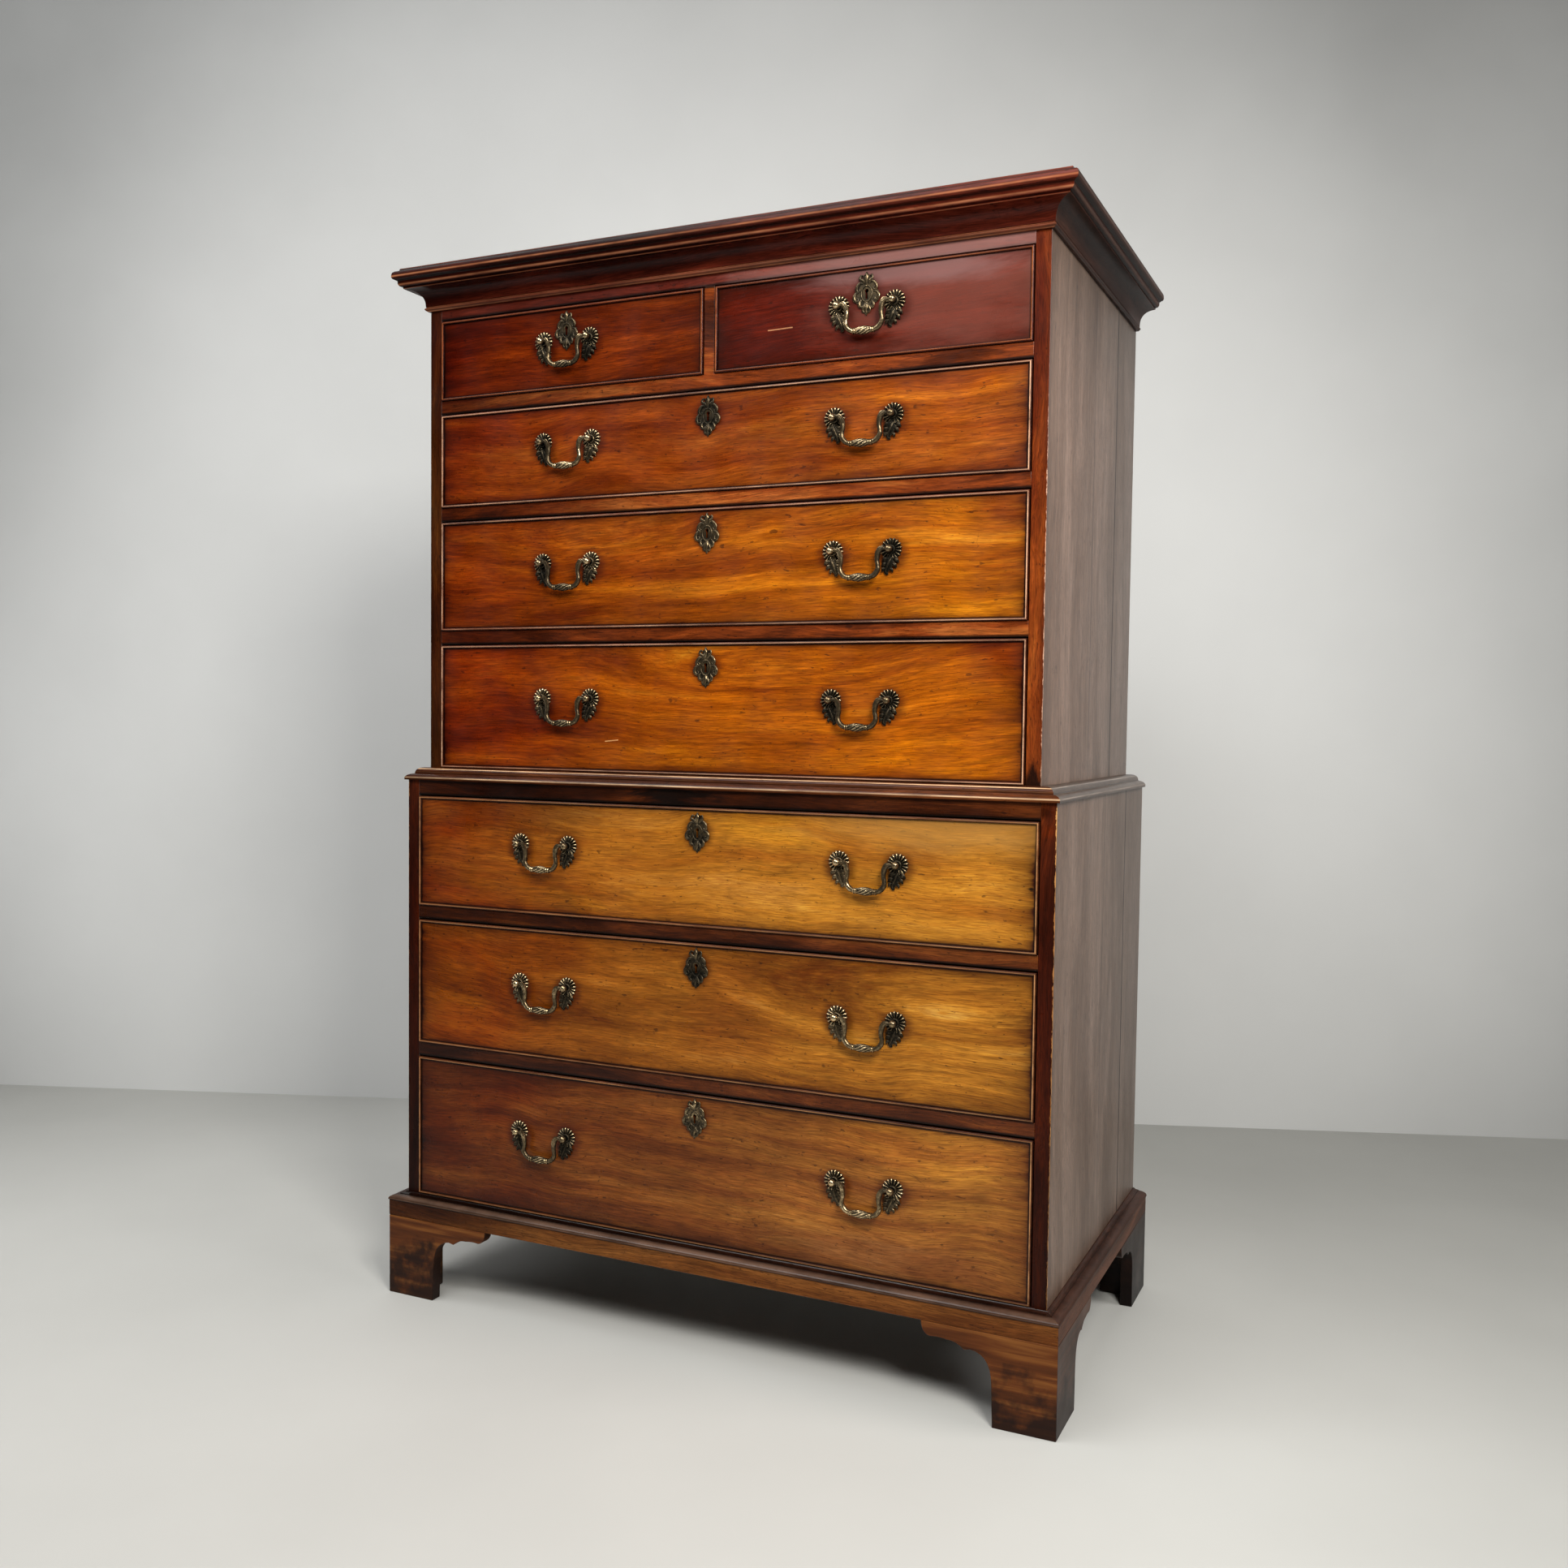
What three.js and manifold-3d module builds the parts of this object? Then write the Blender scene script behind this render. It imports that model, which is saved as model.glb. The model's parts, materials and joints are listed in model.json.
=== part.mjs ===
// A mahogany chest on chest: a chest of three long drawers on bracket feet, and on it a narrower
// chest of three long and two short drawers under a moulded cornice. Every drawer has a beaded
// front, a dovetailed box, a lock behind a cast escutcheon, and swinging bails between cast roses.
// Millimetres, +Z up. The drawers face -Y, and the origin is under the middle of the whole piece.

import * as THREE from 'three';
import { mergeVertices } from 'three/addons/utils/BufferGeometryUtils.js';
import Module from 'manifold-3d';

const wasm = await Module();
wasm.setup();

// The two cases
const lowerCaseWidth = 1120;
const caseDepth = 592;
const waistStep = 29;
const upperSetback = 22;
const sideThickness = 22.5;
const backThickness = 12;
const backRebate = 9;
const topBoardThickness = 16;
const lowerBottomThickness = 20;
const upperBottomThickness = 21;
const dustBoardThickness = 12;
const housingDepth = 8;
const housingSetback = 20;
const railThickness = 22.5;
const railDepth = 55;
const lowerTopRailHeight = 25;
const friezeHeight = 17.5;
const friezeThickness = 24;
const partitionThickness = 18;
const sideSeamFromBack = 138;
const seamWidth = 1;
const backBoardCount = 6;
const backGrooveWidth = 2;
const backGrooveDepth = 1.5;

// The drawers, from the floor up
const lowerBottomDrawerHeight = 236.5;
const lowerMiddleDrawerHeight = 210.5;
const lowerTopDrawerHeight = 185.5;
const upperBottomDrawerHeight = 206;
const upperMiddleDrawerHeight = 181.5;
const upperTopDrawerHeight = 153.5;
const shortDrawerHeight = 131;
const drawerFrontThickness = 20;
const drawerSideThickness = 10;
const drawerBackThickness = 10;
const drawerBottomThickness = 8;
const drawerBottomRaise = 6;
const drawerSideDrop = 4;
const drawerBackDrop = 12;
const drawerStopGap = 24;
const drawerSideClearance = 1.2;
const drawerSeatClearance = 0.3;
const drawerTopClearance = 2;
const beadWidth = 4.5;
const beadProjection = 3;
const beadRounding = 1.2;
const dovetailLength = 14;
const dovetailPitch = 46;
const dovetailFlare = 2.4;
const dovetailWidthShare = 0.62;

// The feet and the base
const footHeight = 134;
const frontLegWidth = 92;
const sideLegWidth = 104;
const bracketLength = 200;
const bracketThickness = 20;
const rearBracketLength = 150;
const glueBlockWidth = 44;
const glueBlockLift = 3;
const cleatWidth = 18;
const plinthDrop = 19;
const baseProjection = 24;
const plinthSetIn = 1.5;
const plinthHeight = 27;
const plinthInset = 22;

// The waist moulding and the cornice
const waistOverhang = 5;
const waistClearance = 0.5;
const corniceHeight = 66;
const corniceProjection = 46;

// The brasses
const handleSpacing = 92;
const shortHandleSpacing = 87;
const roseRadius = 16.5;
const roseTailDrop = 36;
const roseThickness = 3;
const roseLobeDepth = 1.6;
const postHeadRadius = 6;
const postNeckRadius = 3.6;
const postReach = 17.5;
const pivotReach = 11.5;
const pinClearance = 0.35;
const bailDrop = 40;
const bailRadius = 2.3;
const gripRadius = 4.3;
const gripLength = 34;
const escutcheonHeight = 63;
const escutcheonWidth = 40;
const escutcheonThickness = 2.6;
const escutcheonDrop = 6;
const keyholeHeight = 14;
const keyholeRadius = 2.9;
const keySlotWidth = 3.2;
const keyholeDepth = 8;
const lockNeckRadius = 8.5;
const lockCaseWidth = 64;
const lockCaseHeight = 46;
const lockMortiseDepth = 11;

// Where the handles sit on each front, as shares of the half width and of the height
const lowerHandleWidthShare = 0.527;
const upperHandleWidthShare = 0.506;
const lowerBottomHandleHeightShare = 0.572;
const lowerMiddleHandleHeightShare = 0.57;
const lowerTopHandleHeightShare = 0.617;
const upperBottomHandleHeightShare = 0.573;
const upperMiddleHandleHeightShare = 0.585;
const upperTopHandleHeightShare = 0.615;
const shortHandleHeightShare = 0.59;

// Glued or let-in faces stay this far apart, and cuts run this far past what they cut
const jointGap = 0.3;
const overrun = 2;

// How finely the round forms are cut
const curveSegments = 3;
const roundSides = 8;
const postSides = 8;
const roseLobes = 9;
const bailSteps = 18;
const bailSides = 6;

// Sizes and levels worked out from those above
const lowerHalfWidth = lowerCaseWidth / 2;
const upperHalfWidth = lowerHalfWidth - waistStep;
const lowerBottomZ = footHeight + plinthDrop;
const baseMouldingHeight = plinthDrop + lowerBottomThickness;
const pivotY = -pivotReach;

const drawerPlans = {
  lower: [
    { name: 'lower_bottom', height: lowerBottomDrawerHeight, heightShare: lowerBottomHandleHeightShare },
    { name: 'lower_middle', height: lowerMiddleDrawerHeight, heightShare: lowerMiddleHandleHeightShare },
    { name: 'lower_top', height: lowerTopDrawerHeight, heightShare: lowerTopHandleHeightShare },
  ],
  upper: [
    { name: 'upper_bottom', height: upperBottomDrawerHeight, heightShare: upperBottomHandleHeightShare },
    { name: 'upper_middle', height: upperMiddleDrawerHeight, heightShare: upperMiddleHandleHeightShare },
    { name: 'upper_top', height: upperTopDrawerHeight, heightShare: upperTopHandleHeightShare },
    { name: 'short', height: shortDrawerHeight, heightShare: shortHandleHeightShare },
  ],
};

// Give each drawer of a case its level, and return the level under the case's top rail
function stackDrawers(drawers, floorZ) {
  let level = floorZ;
  drawers.forEach((drawer, index) => {
    drawer.z = level + drawerSeatClearance;
    drawer.openingTop = drawer.z + drawer.height + drawerTopClearance;
    const last = index === drawers.length - 1;
    level = drawer.openingTop + (last ? 0 : railThickness);
  });
  return level;
}

const lowerRailZ = stackDrawers(drawerPlans.lower, lowerBottomZ + lowerBottomThickness);
const lowerTopZ = lowerRailZ + lowerTopRailHeight;
const upperRailZ = stackDrawers(drawerPlans.upper, lowerTopZ + upperBottomThickness);
const corniceZ = upperRailZ + friezeHeight;
const upperTopZ = corniceZ + corniceHeight;

const lowerCase = {
  prefix: 'lower',
  halfWidth: lowerHalfWidth,
  frontY: 0,
  bottomZ: lowerBottomZ,
  bottomThickness: lowerBottomThickness,
  railZ: lowerRailZ,
  railThickness: railDepth,
  topZ: lowerTopZ,
  drawers: drawerPlans.lower,
};
const upperCase = {
  prefix: 'upper',
  halfWidth: upperHalfWidth,
  frontY: upperSetback,
  bottomZ: lowerTopZ,
  bottomThickness: upperBottomThickness,
  railZ: upperRailZ,
  railThickness: friezeThickness,
  topZ: upperTopZ,
  drawers: drawerPlans.upper,
};

// Materials
function woodMaterial(color, roughness) {
  return new THREE.MeshStandardMaterial({ color, roughness, metalness: 0 });
}
const frontMahogany = woodMaterial('#a35f22', 0.35);
const railMahogany = woodMaterial('#5a2513', 0.35);
const sideMahogany = woodMaterial('#6f5a4c', 0.45);
const mouldingMahogany = woodMaterial('#4a261a', 0.35);
const liningOak = woodMaterial('#a98a5c', 0.7);
const backPine = woodMaterial('#8a6a45', 0.8);
const agedBrass = new THREE.MeshStandardMaterial({ color: '#6b5a36', roughness: 0.4, metalness: 1 });

// Shapes: boxes between limits, plates cut from an outline, and cuts and joins of solids
function box(limitsX, limitsY, limitsZ) {
  const geometry = new THREE.BoxGeometry(1, 1, 1);
  const places = geometry.attributes.position;
  const pick = (limits, place) => (place < 0 ? limits[0] : limits[1]);
  for (let index = 0; index < places.count; index += 1) {
    places.setXYZ(index, pick(limitsX, places.getX(index)), pick(limitsY, places.getY(index)),
      pick(limitsZ, places.getZ(index)));
  }
  return geometry;
}

// A plate whose outline is drawn in X and Z, and which lies between two places in Y
function frontPlate(shape, y0, y1) {
  const geometry = new THREE.ExtrudeGeometry(shape, {
    depth: y1 - y0, bevelEnabled: false, curveSegments,
  });
  return geometry.rotateX(Math.PI / 2).translate(0, y1, 0);
}

// A plate whose outline is drawn in Y and Z, and which lies between two places in X
function sidePlate(shape, x0, x1) {
  const geometry = new THREE.ExtrudeGeometry(shape, {
    depth: x1 - x0, bevelEnabled: false, curveSegments,
  });
  const alongX = new THREE.Matrix4().set(0, 0, 1, 0, 1, 0, 0, 0, 0, 1, 0, 0, 0, 0, 0, 1);
  return geometry.applyMatrix4(alongX).translate(x0, 0, 0);
}

function outline(points) {
  return new THREE.Shape(points.map(([x, y]) => new THREE.Vector2(x, y)));
}

function solidOf(geometry) {
  const bare = geometry.clone();
  bare.deleteAttribute('normal');
  bare.deleteAttribute('uv');
  const merged = mergeVertices(bare);
  return new wasm.Manifold(new wasm.Mesh({
    numProp: 3,
    vertProperties: new Float32Array(merged.attributes.position.array),
    triVerts: new Uint32Array(merged.index.array),
  }));
}

function geometryOf(solid) {
  const mesh = solid.getMesh();
  const geometry = new THREE.BufferGeometry();
  geometry.setAttribute('position', new THREE.BufferAttribute(mesh.vertProperties, mesh.numProp));
  geometry.setIndex(new THREE.BufferAttribute(mesh.triVerts, 1));
  geometry.computeVertexNormals();
  return geometry;
}

function joined(geometries) {
  const solids = geometries.map(solidOf);
  return geometryOf(solids.reduce((whole, piece) => whole.add(piece)));
}

function cut(geometry, cutters) {
  const solid = cutters.map(solidOf).reduce((whole, piece) => whole.subtract(piece), solidOf(geometry));
  return geometryOf(solid);
}

function piece(name, geometry, material) {
  const mesh = new THREE.Mesh(geometry, material);
  mesh.name = name;
  return mesh;
}

// The same piece for the other side of the chest
function mirrored(geometry) {
  const flipped = geometry.clone().scale(-1, 1, 1);
  const order = flipped.index;
  for (let corner = 0; corner < order.count; corner += 3) {
    const second = order.getX(corner + 1);
    order.setX(corner + 1, order.getX(corner + 2));
    order.setX(corner + 2, second);
  }
  flipped.computeVertexNormals();
  return flipped;
}

// A moulding that runs from the back along the right side, across the front and back along the
// left side, mitred at both front corners. Its section is drawn as outward and upward lengths.
function wrapMoulding(section, { halfWidth, frontY, bottomZ, sideOutward = (out) => out }) {
  const runs = 3;
  const geometry = new THREE.ExtrudeGeometry(section, {
    steps: runs, depth: runs, bevelEnabled: false, curveSegments,
  });
  const corners = [
    (out) => [halfWidth + sideOutward(out), caseDepth],
    (out) => [halfWidth + sideOutward(out), frontY - out],
    (out) => [-halfWidth - sideOutward(out), frontY - out],
    (out) => [-halfWidth - sideOutward(out), caseDepth],
  ];
  const places = geometry.attributes.position;
  for (let index = 0; index < places.count; index += 1) {
    const corner = corners[Math.round(places.getZ(index))];
    const [x, y] = corner(places.getX(index));
    places.setXYZ(index, x, y, bottomZ + places.getY(index));
  }
  geometry.computeVertexNormals();
  return geometry;
}

// The carcase: each side is rebated for the back and housed for the dust boards
function caseSide(plan) {
  const { halfWidth, frontY, bottomZ, topZ, drawers } = plan;
  const innerX = halfWidth - sideThickness;
  const seamY = caseDepth - sideSeamFromBack;
  const tall = [bottomZ - overrun, topZ + overrun];
  const cutters = [
    box([innerX - overrun, innerX + backRebate], [caseDepth - backThickness, caseDepth + overrun], tall),
    box([halfWidth - seamWidth, halfWidth + overrun], [seamY, seamY + seamWidth], tall),
  ];
  for (const drawer of drawers.slice(0, -1)) {
    const seatZ = drawer.openingTop + railThickness;
    cutters.push(box(
      [innerX - overrun, innerX + housingDepth + jointGap],
      [frontY + housingSetback - jointGap, caseDepth],
      [seatZ - dustBoardThickness - jointGap, seatZ + jointGap],
    ));
  }
  return cut(box([innerX, halfWidth], [frontY, caseDepth], [bottomZ, topZ]), cutters);
}

// A rail behind the drawer fronts' plane, and the dust board that the drawer above runs on
function caseDivider(plan, drawer) {
  const { halfWidth, frontY } = plan;
  const innerX = halfWidth - sideThickness;
  const seatZ = drawer.openingTop + railThickness;
  const tongueX = innerX + housingDepth;
  const boardLevels = [seatZ - dustBoardThickness, seatZ];
  const backY = caseDepth - backThickness;
  return [
    box([-innerX, innerX], [frontY, frontY + railDepth], [drawer.openingTop, seatZ]),
    box([-innerX, innerX], [frontY + railDepth - overrun, backY], boardLevels),
    box([-tongueX, tongueX], [frontY + housingSetback, backY], boardLevels),
  ];
}

function casePartition(plan, drawer) {
  const seatZ = drawer.z - drawerSeatClearance;
  return box(
    [-partitionThickness / 2, partitionThickness / 2],
    [plan.frontY, caseDepth - backThickness],
    [seatZ - overrun, drawer.openingTop],
  );
}

function caseTop(plan) {
  const innerX = plan.halfWidth - sideThickness;
  return joined([
    box([-innerX, innerX], [plan.frontY, plan.frontY + plan.railThickness], [plan.railZ, plan.topZ]),
    box([-innerX, innerX], [plan.frontY, caseDepth - backThickness],
      [plan.topZ - topBoardThickness, plan.topZ]),
  ]);
}

function caseBottom(plan) {
  const innerX = plan.halfWidth - sideThickness;
  return box([-innerX, innerX], [plan.frontY, caseDepth - backThickness],
    [plan.bottomZ, plan.bottomZ + plan.bottomThickness]);
}

// Upright boards, seen from behind as one panel with a groove at each joint
function caseBack(plan) {
  const reach = plan.halfWidth - sideThickness + backRebate - jointGap;
  const panel = box([-reach, reach], [caseDepth - backThickness, caseDepth], [plan.bottomZ, plan.topZ]);
  const boardWidth = 2 * reach / backBoardCount;
  const grooves = [];
  for (let joint = 1; joint < backBoardCount; joint += 1) {
    const jointX = -reach + joint * boardWidth;
    grooves.push(box([jointX - backGrooveWidth / 2, jointX + backGrooveWidth / 2],
      [caseDepth - backGrooveDepth, caseDepth + overrun],
      [plan.bottomZ - overrun, plan.topZ + overrun]));
  }
  return cut(panel, grooves);
}

function makeCase(plan) {
  const { prefix, drawers } = plan;
  const group = new THREE.Group();
  const side = caseSide(plan);
  group.add(piece(`${prefix}_side_right`, side, sideMahogany));
  group.add(piece(`${prefix}_side_left`, mirrored(side), sideMahogany));
  group.add(piece(`${prefix}_top`, caseTop(plan), railMahogany));
  group.add(piece(`${prefix}_bottom`, caseBottom(plan), liningOak));
  group.add(piece(`${prefix}_back`, caseBack(plan), backPine));
  drawers.slice(0, -1).forEach((drawer, index) => {
    const boards = caseDivider(plan, drawer);
    const above = drawers[index + 1];
    if (above.name === 'short') {
      boards.push(casePartition(plan, above));
    }
    group.add(piece(`${prefix}_divider_${index + 1}`, joined(boards), railMahogany));
  });
  return group;
}

// The cornice: bead, fillet, cove, fillet, small ovolo, large nose and top fillet
function makeCornice() {
  const outward = (share) => share * corniceProjection;
  const upward = (share) => share * corniceHeight;
  const section = new THREE.Shape();
  const line = (outShare, upShare) => section.lineTo(outward(outShare), upward(upShare));
  const curve = (viaOut, viaUp, outShare, upShare) => section.quadraticCurveTo(
    outward(viaOut), upward(viaUp), outward(outShare), upward(upShare));
  section.moveTo(0, 0);
  line(0.09, 0);
  curve(0.21, 0.05, 0.09, 0.105);
  line(0.13, 0.105);
  line(0.13, 0.135);
  curve(0.14, 0.48, 0.63, 0.51);
  line(0.7, 0.51);
  line(0.7, 0.55);
  curve(0.83, 0.56, 0.84, 0.68);
  line(0.88, 0.7);
  curve(1.01, 0.73, 1, 0.83);
  curve(0.98, 0.91, 0.8, 0.94);
  line(0.78, 1);
  line(0, 1);
  const geometry = wrapMoulding(section, { halfWidth: upperHalfWidth, frontY: upperSetback, bottomZ: corniceZ });
  return piece('cornice', geometry, mouldingMahogany);
}

// The waist moulding sits on the lower case and holds the upper case's foot. Its inner wall
// follows the upper case, so it stands further in at the sides than at the front.
function makeWaistMoulding() {
  const innerFront = waistClearance - upperSetback;
  const innerSide = waistClearance - waistStep;
  const outward = (share) => waistOverhang + share * (innerFront - waistOverhang);
  const upward = (share) => share * upperBottomThickness;
  const section = new THREE.Shape();
  section.moveTo(innerFront, 0);
  section.lineTo(outward(0), 0);
  section.lineTo(outward(0), upward(0.2));
  section.quadraticCurveTo(outward(0.1), upward(0.46), outward(0.46), upward(0.5));
  section.lineTo(outward(0.48), upward(0.62));
  section.quadraticCurveTo(outward(0.6), upward(0.92), outward(0.88), upward(1));
  section.lineTo(innerFront, upward(1));
  const geometry = wrapMoulding(section, {
    halfWidth: lowerHalfWidth,
    frontY: 0,
    bottomZ: lowerTopZ,
    sideOutward: (out) => (out <= innerFront ? innerSide : out),
  });
  return piece('waist_moulding', geometry, mouldingMahogany);
}

// The base: a plinth strip under the carcase's edge, with a nose, an ovolo and a small cove over it
function makeBaseMoulding() {
  const plinthFace = baseProjection - plinthSetIn;
  const mouldedHeight = baseMouldingHeight - plinthHeight;
  const outward = (share) => share * baseProjection;
  const upward = (share) => plinthHeight + share * mouldedHeight;
  const section = new THREE.Shape();
  section.moveTo(-plinthInset, 0);
  section.lineTo(plinthFace, 0);
  section.lineTo(plinthFace, upward(0));
  section.lineTo(outward(1), upward(0.04));
  section.lineTo(outward(1), upward(0.16));
  section.quadraticCurveTo(outward(0.94), upward(0.62), outward(0.42), upward(0.68));
  section.lineTo(outward(0.4), upward(0.76));
  section.quadraticCurveTo(outward(0.14), upward(0.78), outward(0.08), upward(1));
  section.lineTo(0, upward(1));
  section.lineTo(0, plinthDrop);
  section.lineTo(-plinthInset, plinthDrop);
  const geometry = wrapMoulding(section, { halfWidth: lowerHalfWidth, frontY: 0, bottomZ: footHeight });
  return piece('base_moulding', geometry, mouldingMahogany);
}

// A bracket from its outer corner inwards: leg, arch, cusp, ogee and rounded tip
function bracketOutline(start, inwards, legWidth) {
  const reach = bracketLength - legWidth;
  const along = (share) => start + inwards * (legWidth + share * reach);
  const upward = (share) => share * footHeight;
  const shape = new THREE.Shape();
  const curve = (viaShare, viaUp, share, upShare) => shape.quadraticCurveTo(
    along(viaShare), upward(viaUp), along(share), upward(upShare));
  shape.moveTo(start, 0);
  shape.lineTo(along(0), 0);
  shape.lineTo(along(0.02), upward(0.46));
  curve(0.03, 0.77, 0.31, 0.785);
  shape.lineTo(along(0.4), upward(0.77));
  curve(0.5, 0.845, 0.63, 0.842);
  curve(0.76, 0.86, 0.87, 0.845);
  curve(0.99, 0.86, 1, 1);
  shape.lineTo(start, upward(1));
  return shape;
}

const footFaceX = lowerHalfWidth + baseProjection - plinthSetIn;
const footFaceY = plinthSetIn - baseProjection;

// Blocks glued in the corner behind the brackets, short of the floor
function footBlocks(innerY, inwards) {
  const cornerX = footFaceX - bracketThickness;
  const blockY = [innerY - inwards * overrun, innerY + inwards * glueBlockWidth].sort((a, b) => a - b);
  return box([cornerX - glueBlockWidth, cornerX + overrun], blockY, [glueBlockLift, footHeight]);
}

function makeFrontFoot() {
  const cleatY = footFaceY + bracketThickness;
  const cornerX = footFaceX - bracketThickness;
  return joined([
    frontPlate(bracketOutline(footFaceX, -1, frontLegWidth), footFaceY, footFaceY + bracketThickness),
    sidePlate(bracketOutline(footFaceY, 1, sideLegWidth), cornerX, footFaceX),
    footBlocks(cleatY, 1),
    box([footFaceX - bracketLength + cleatWidth, cornerX], [cleatY - overrun, cleatY + cleatWidth],
      [footHeight - cleatWidth, footHeight]),
  ]);
}

// The back foot has a shaped bracket at the side only, and a plain sloping one behind
function makeRearFoot() {
  const cornerX = footFaceX - bracketThickness;
  const rearY = caseDepth - bracketThickness;
  const stripX = lowerHalfWidth - plinthInset - jointGap;
  const farX = footFaceX - rearBracketLength;
  const rearOutline = outline([
    [footFaceX, 0],
    [footFaceX, footHeight],
    [stripX, footHeight],
    [stripX, lowerBottomZ],
    [farX, lowerBottomZ],
    [farX, footHeight - cleatWidth],
    [footFaceX - sideLegWidth, footHeight - glueBlockWidth],
    [footFaceX - frontLegWidth, 0],
  ]);
  return joined([
    sidePlate(bracketOutline(caseDepth, -1, sideLegWidth), cornerX, footFaceX),
    frontPlate(rearOutline, rearY, caseDepth),
    footBlocks(rearY, -1),
  ]);
}

function makeFeet() {
  const group = new THREE.Group();
  for (const [place, foot] of [['front', makeFrontFoot()], ['rear', makeRearFoot()]]) {
    group.add(piece(`foot_${place}_right`, foot, mouldingMahogany));
    group.add(piece(`foot_${place}_left`, mirrored(foot), mouldingMahogany));
  }
  return group;
}

// Lapped dovetails: the tails on a drawer's sides, and the sockets behind its front
function dovetails(sideHeight) {
  const count = Math.max(2, Math.round(sideHeight / dovetailPitch));
  const pitch = sideHeight / count;
  const half = pitch * dovetailWidthShare / 2;
  return Array.from({ length: count }, (_, index) => ({ middle: (index + 0.5) * pitch, half }));
}

function drawerSideOutline(height, backY) {
  const sideHeight = height - drawerSideDrop;
  const points = [[drawerFrontThickness, 0]];
  for (const { middle, half } of dovetails(sideHeight)) {
    const wide = half + dovetailFlare;
    const tipY = drawerFrontThickness - dovetailLength;
    points.push([drawerFrontThickness, middle - half], [tipY, middle - wide]);
    points.push([tipY, middle + wide], [drawerFrontThickness, middle + half]);
  }
  points.push([drawerFrontThickness, sideHeight], [backY, sideHeight], [backY, 0]);
  return outline(points);
}

function dovetailSockets(height, halfWidth) {
  const innerX = halfWidth - drawerSideThickness - jointGap;
  const sockets = [];
  for (const { middle, half } of dovetails(height - drawerSideDrop)) {
    const narrow = half + jointGap;
    const wide = narrow + dovetailFlare;
    const tipY = drawerFrontThickness - dovetailLength - jointGap;
    const mouthY = drawerFrontThickness + overrun;
    const socket = outline([
      [drawerFrontThickness, middle - narrow], [tipY, middle - wide], [tipY, middle + wide],
      [drawerFrontThickness, middle + narrow], [mouthY, middle + narrow], [mouthY, middle - narrow],
    ]);
    sockets.push(sidePlate(socket, innerX, halfWidth + overrun));
    sockets.push(sidePlate(socket, -halfWidth - overrun, -innerX));
  }
  return sockets;
}

// The bead round the edge of a drawer front, rounded on its nose
function beadFrame(halfWidth, height) {
  const shape = outline([[-halfWidth, 0], [halfWidth, 0], [halfWidth, height], [-halfWidth, height]]);
  const inner = halfWidth - beadWidth;
  const upper = height - beadWidth;
  shape.holes.push(outline([[-inner, beadWidth], [-inner, upper], [inner, upper], [inner, beadWidth]]));
  const geometry = new THREE.ExtrudeGeometry(shape, {
    depth: beadProjection - beadRounding,
    bevelThickness: beadRounding,
    bevelSize: beadRounding,
    bevelOffset: -beadRounding,
    bevelSegments: 1,
  });
  return geometry.rotateX(Math.PI / 2);
}

// A cast rose: a scalloped shell over a leafy tail that turns in under the bail
function makeRose(x, z, inwards) {
  const points = [];
  const firstAngle = -0.2 * Math.PI;
  const sweep = 1.4 * Math.PI;
  for (let step = 0; step <= 2 * roseLobes; step += 1) {
    const angle = firstAngle + sweep * step / (2 * roseLobes);
    const radius = roseRadius - (step % 2 ? 0 : roseLobeDepth);
    points.push([x + inwards * radius * Math.cos(angle), z + radius * Math.sin(angle)]);
  }
  const tailShares = [[-0.55, -0.42], [-0.3, -0.66], [-0.02, -0.62], [0.3, -0.84], [0.62, -1], [0.92, -0.62]];
  for (const [outShare, dropShare] of tailShares) {
    points.push([x + inwards * outShare * roseRadius, z + dropShare * roseTailDrop]);
  }
  return frontPlate(outline(points), -roseThickness, overrun);
}

// The post that comes through the front: neck, ball head, and a cross bore for the bail's end
function makePost(x, z) {
  const profile = [
    [0, overrun],
    [postNeckRadius, overrun],
    [postNeckRadius, postHeadRadius - pivotReach],
    [postHeadRadius, -pivotReach],
    [postHeadRadius / 2, -postReach * 0.95],
    [0, -postReach],
  ];
  const points = profile.map(([radius, y]) => new THREE.Vector2(radius, y));
  return new THREE.LatheGeometry(points.reverse(), postSides).translate(x, 0, z);
}

function makePinBore(x, z, inwards) {
  const radius = (bailRadius + pinClearance) / Math.cos(Math.PI / roundSides);
  const length = 2 * postHeadRadius;
  const bore = new THREE.CylinderGeometry(radius, radius, length, roundSides);
  return bore.rotateZ(Math.PI / 2).translate(x + inwards * (length / 2 - pinClearance), pivotY, z);
}

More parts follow.
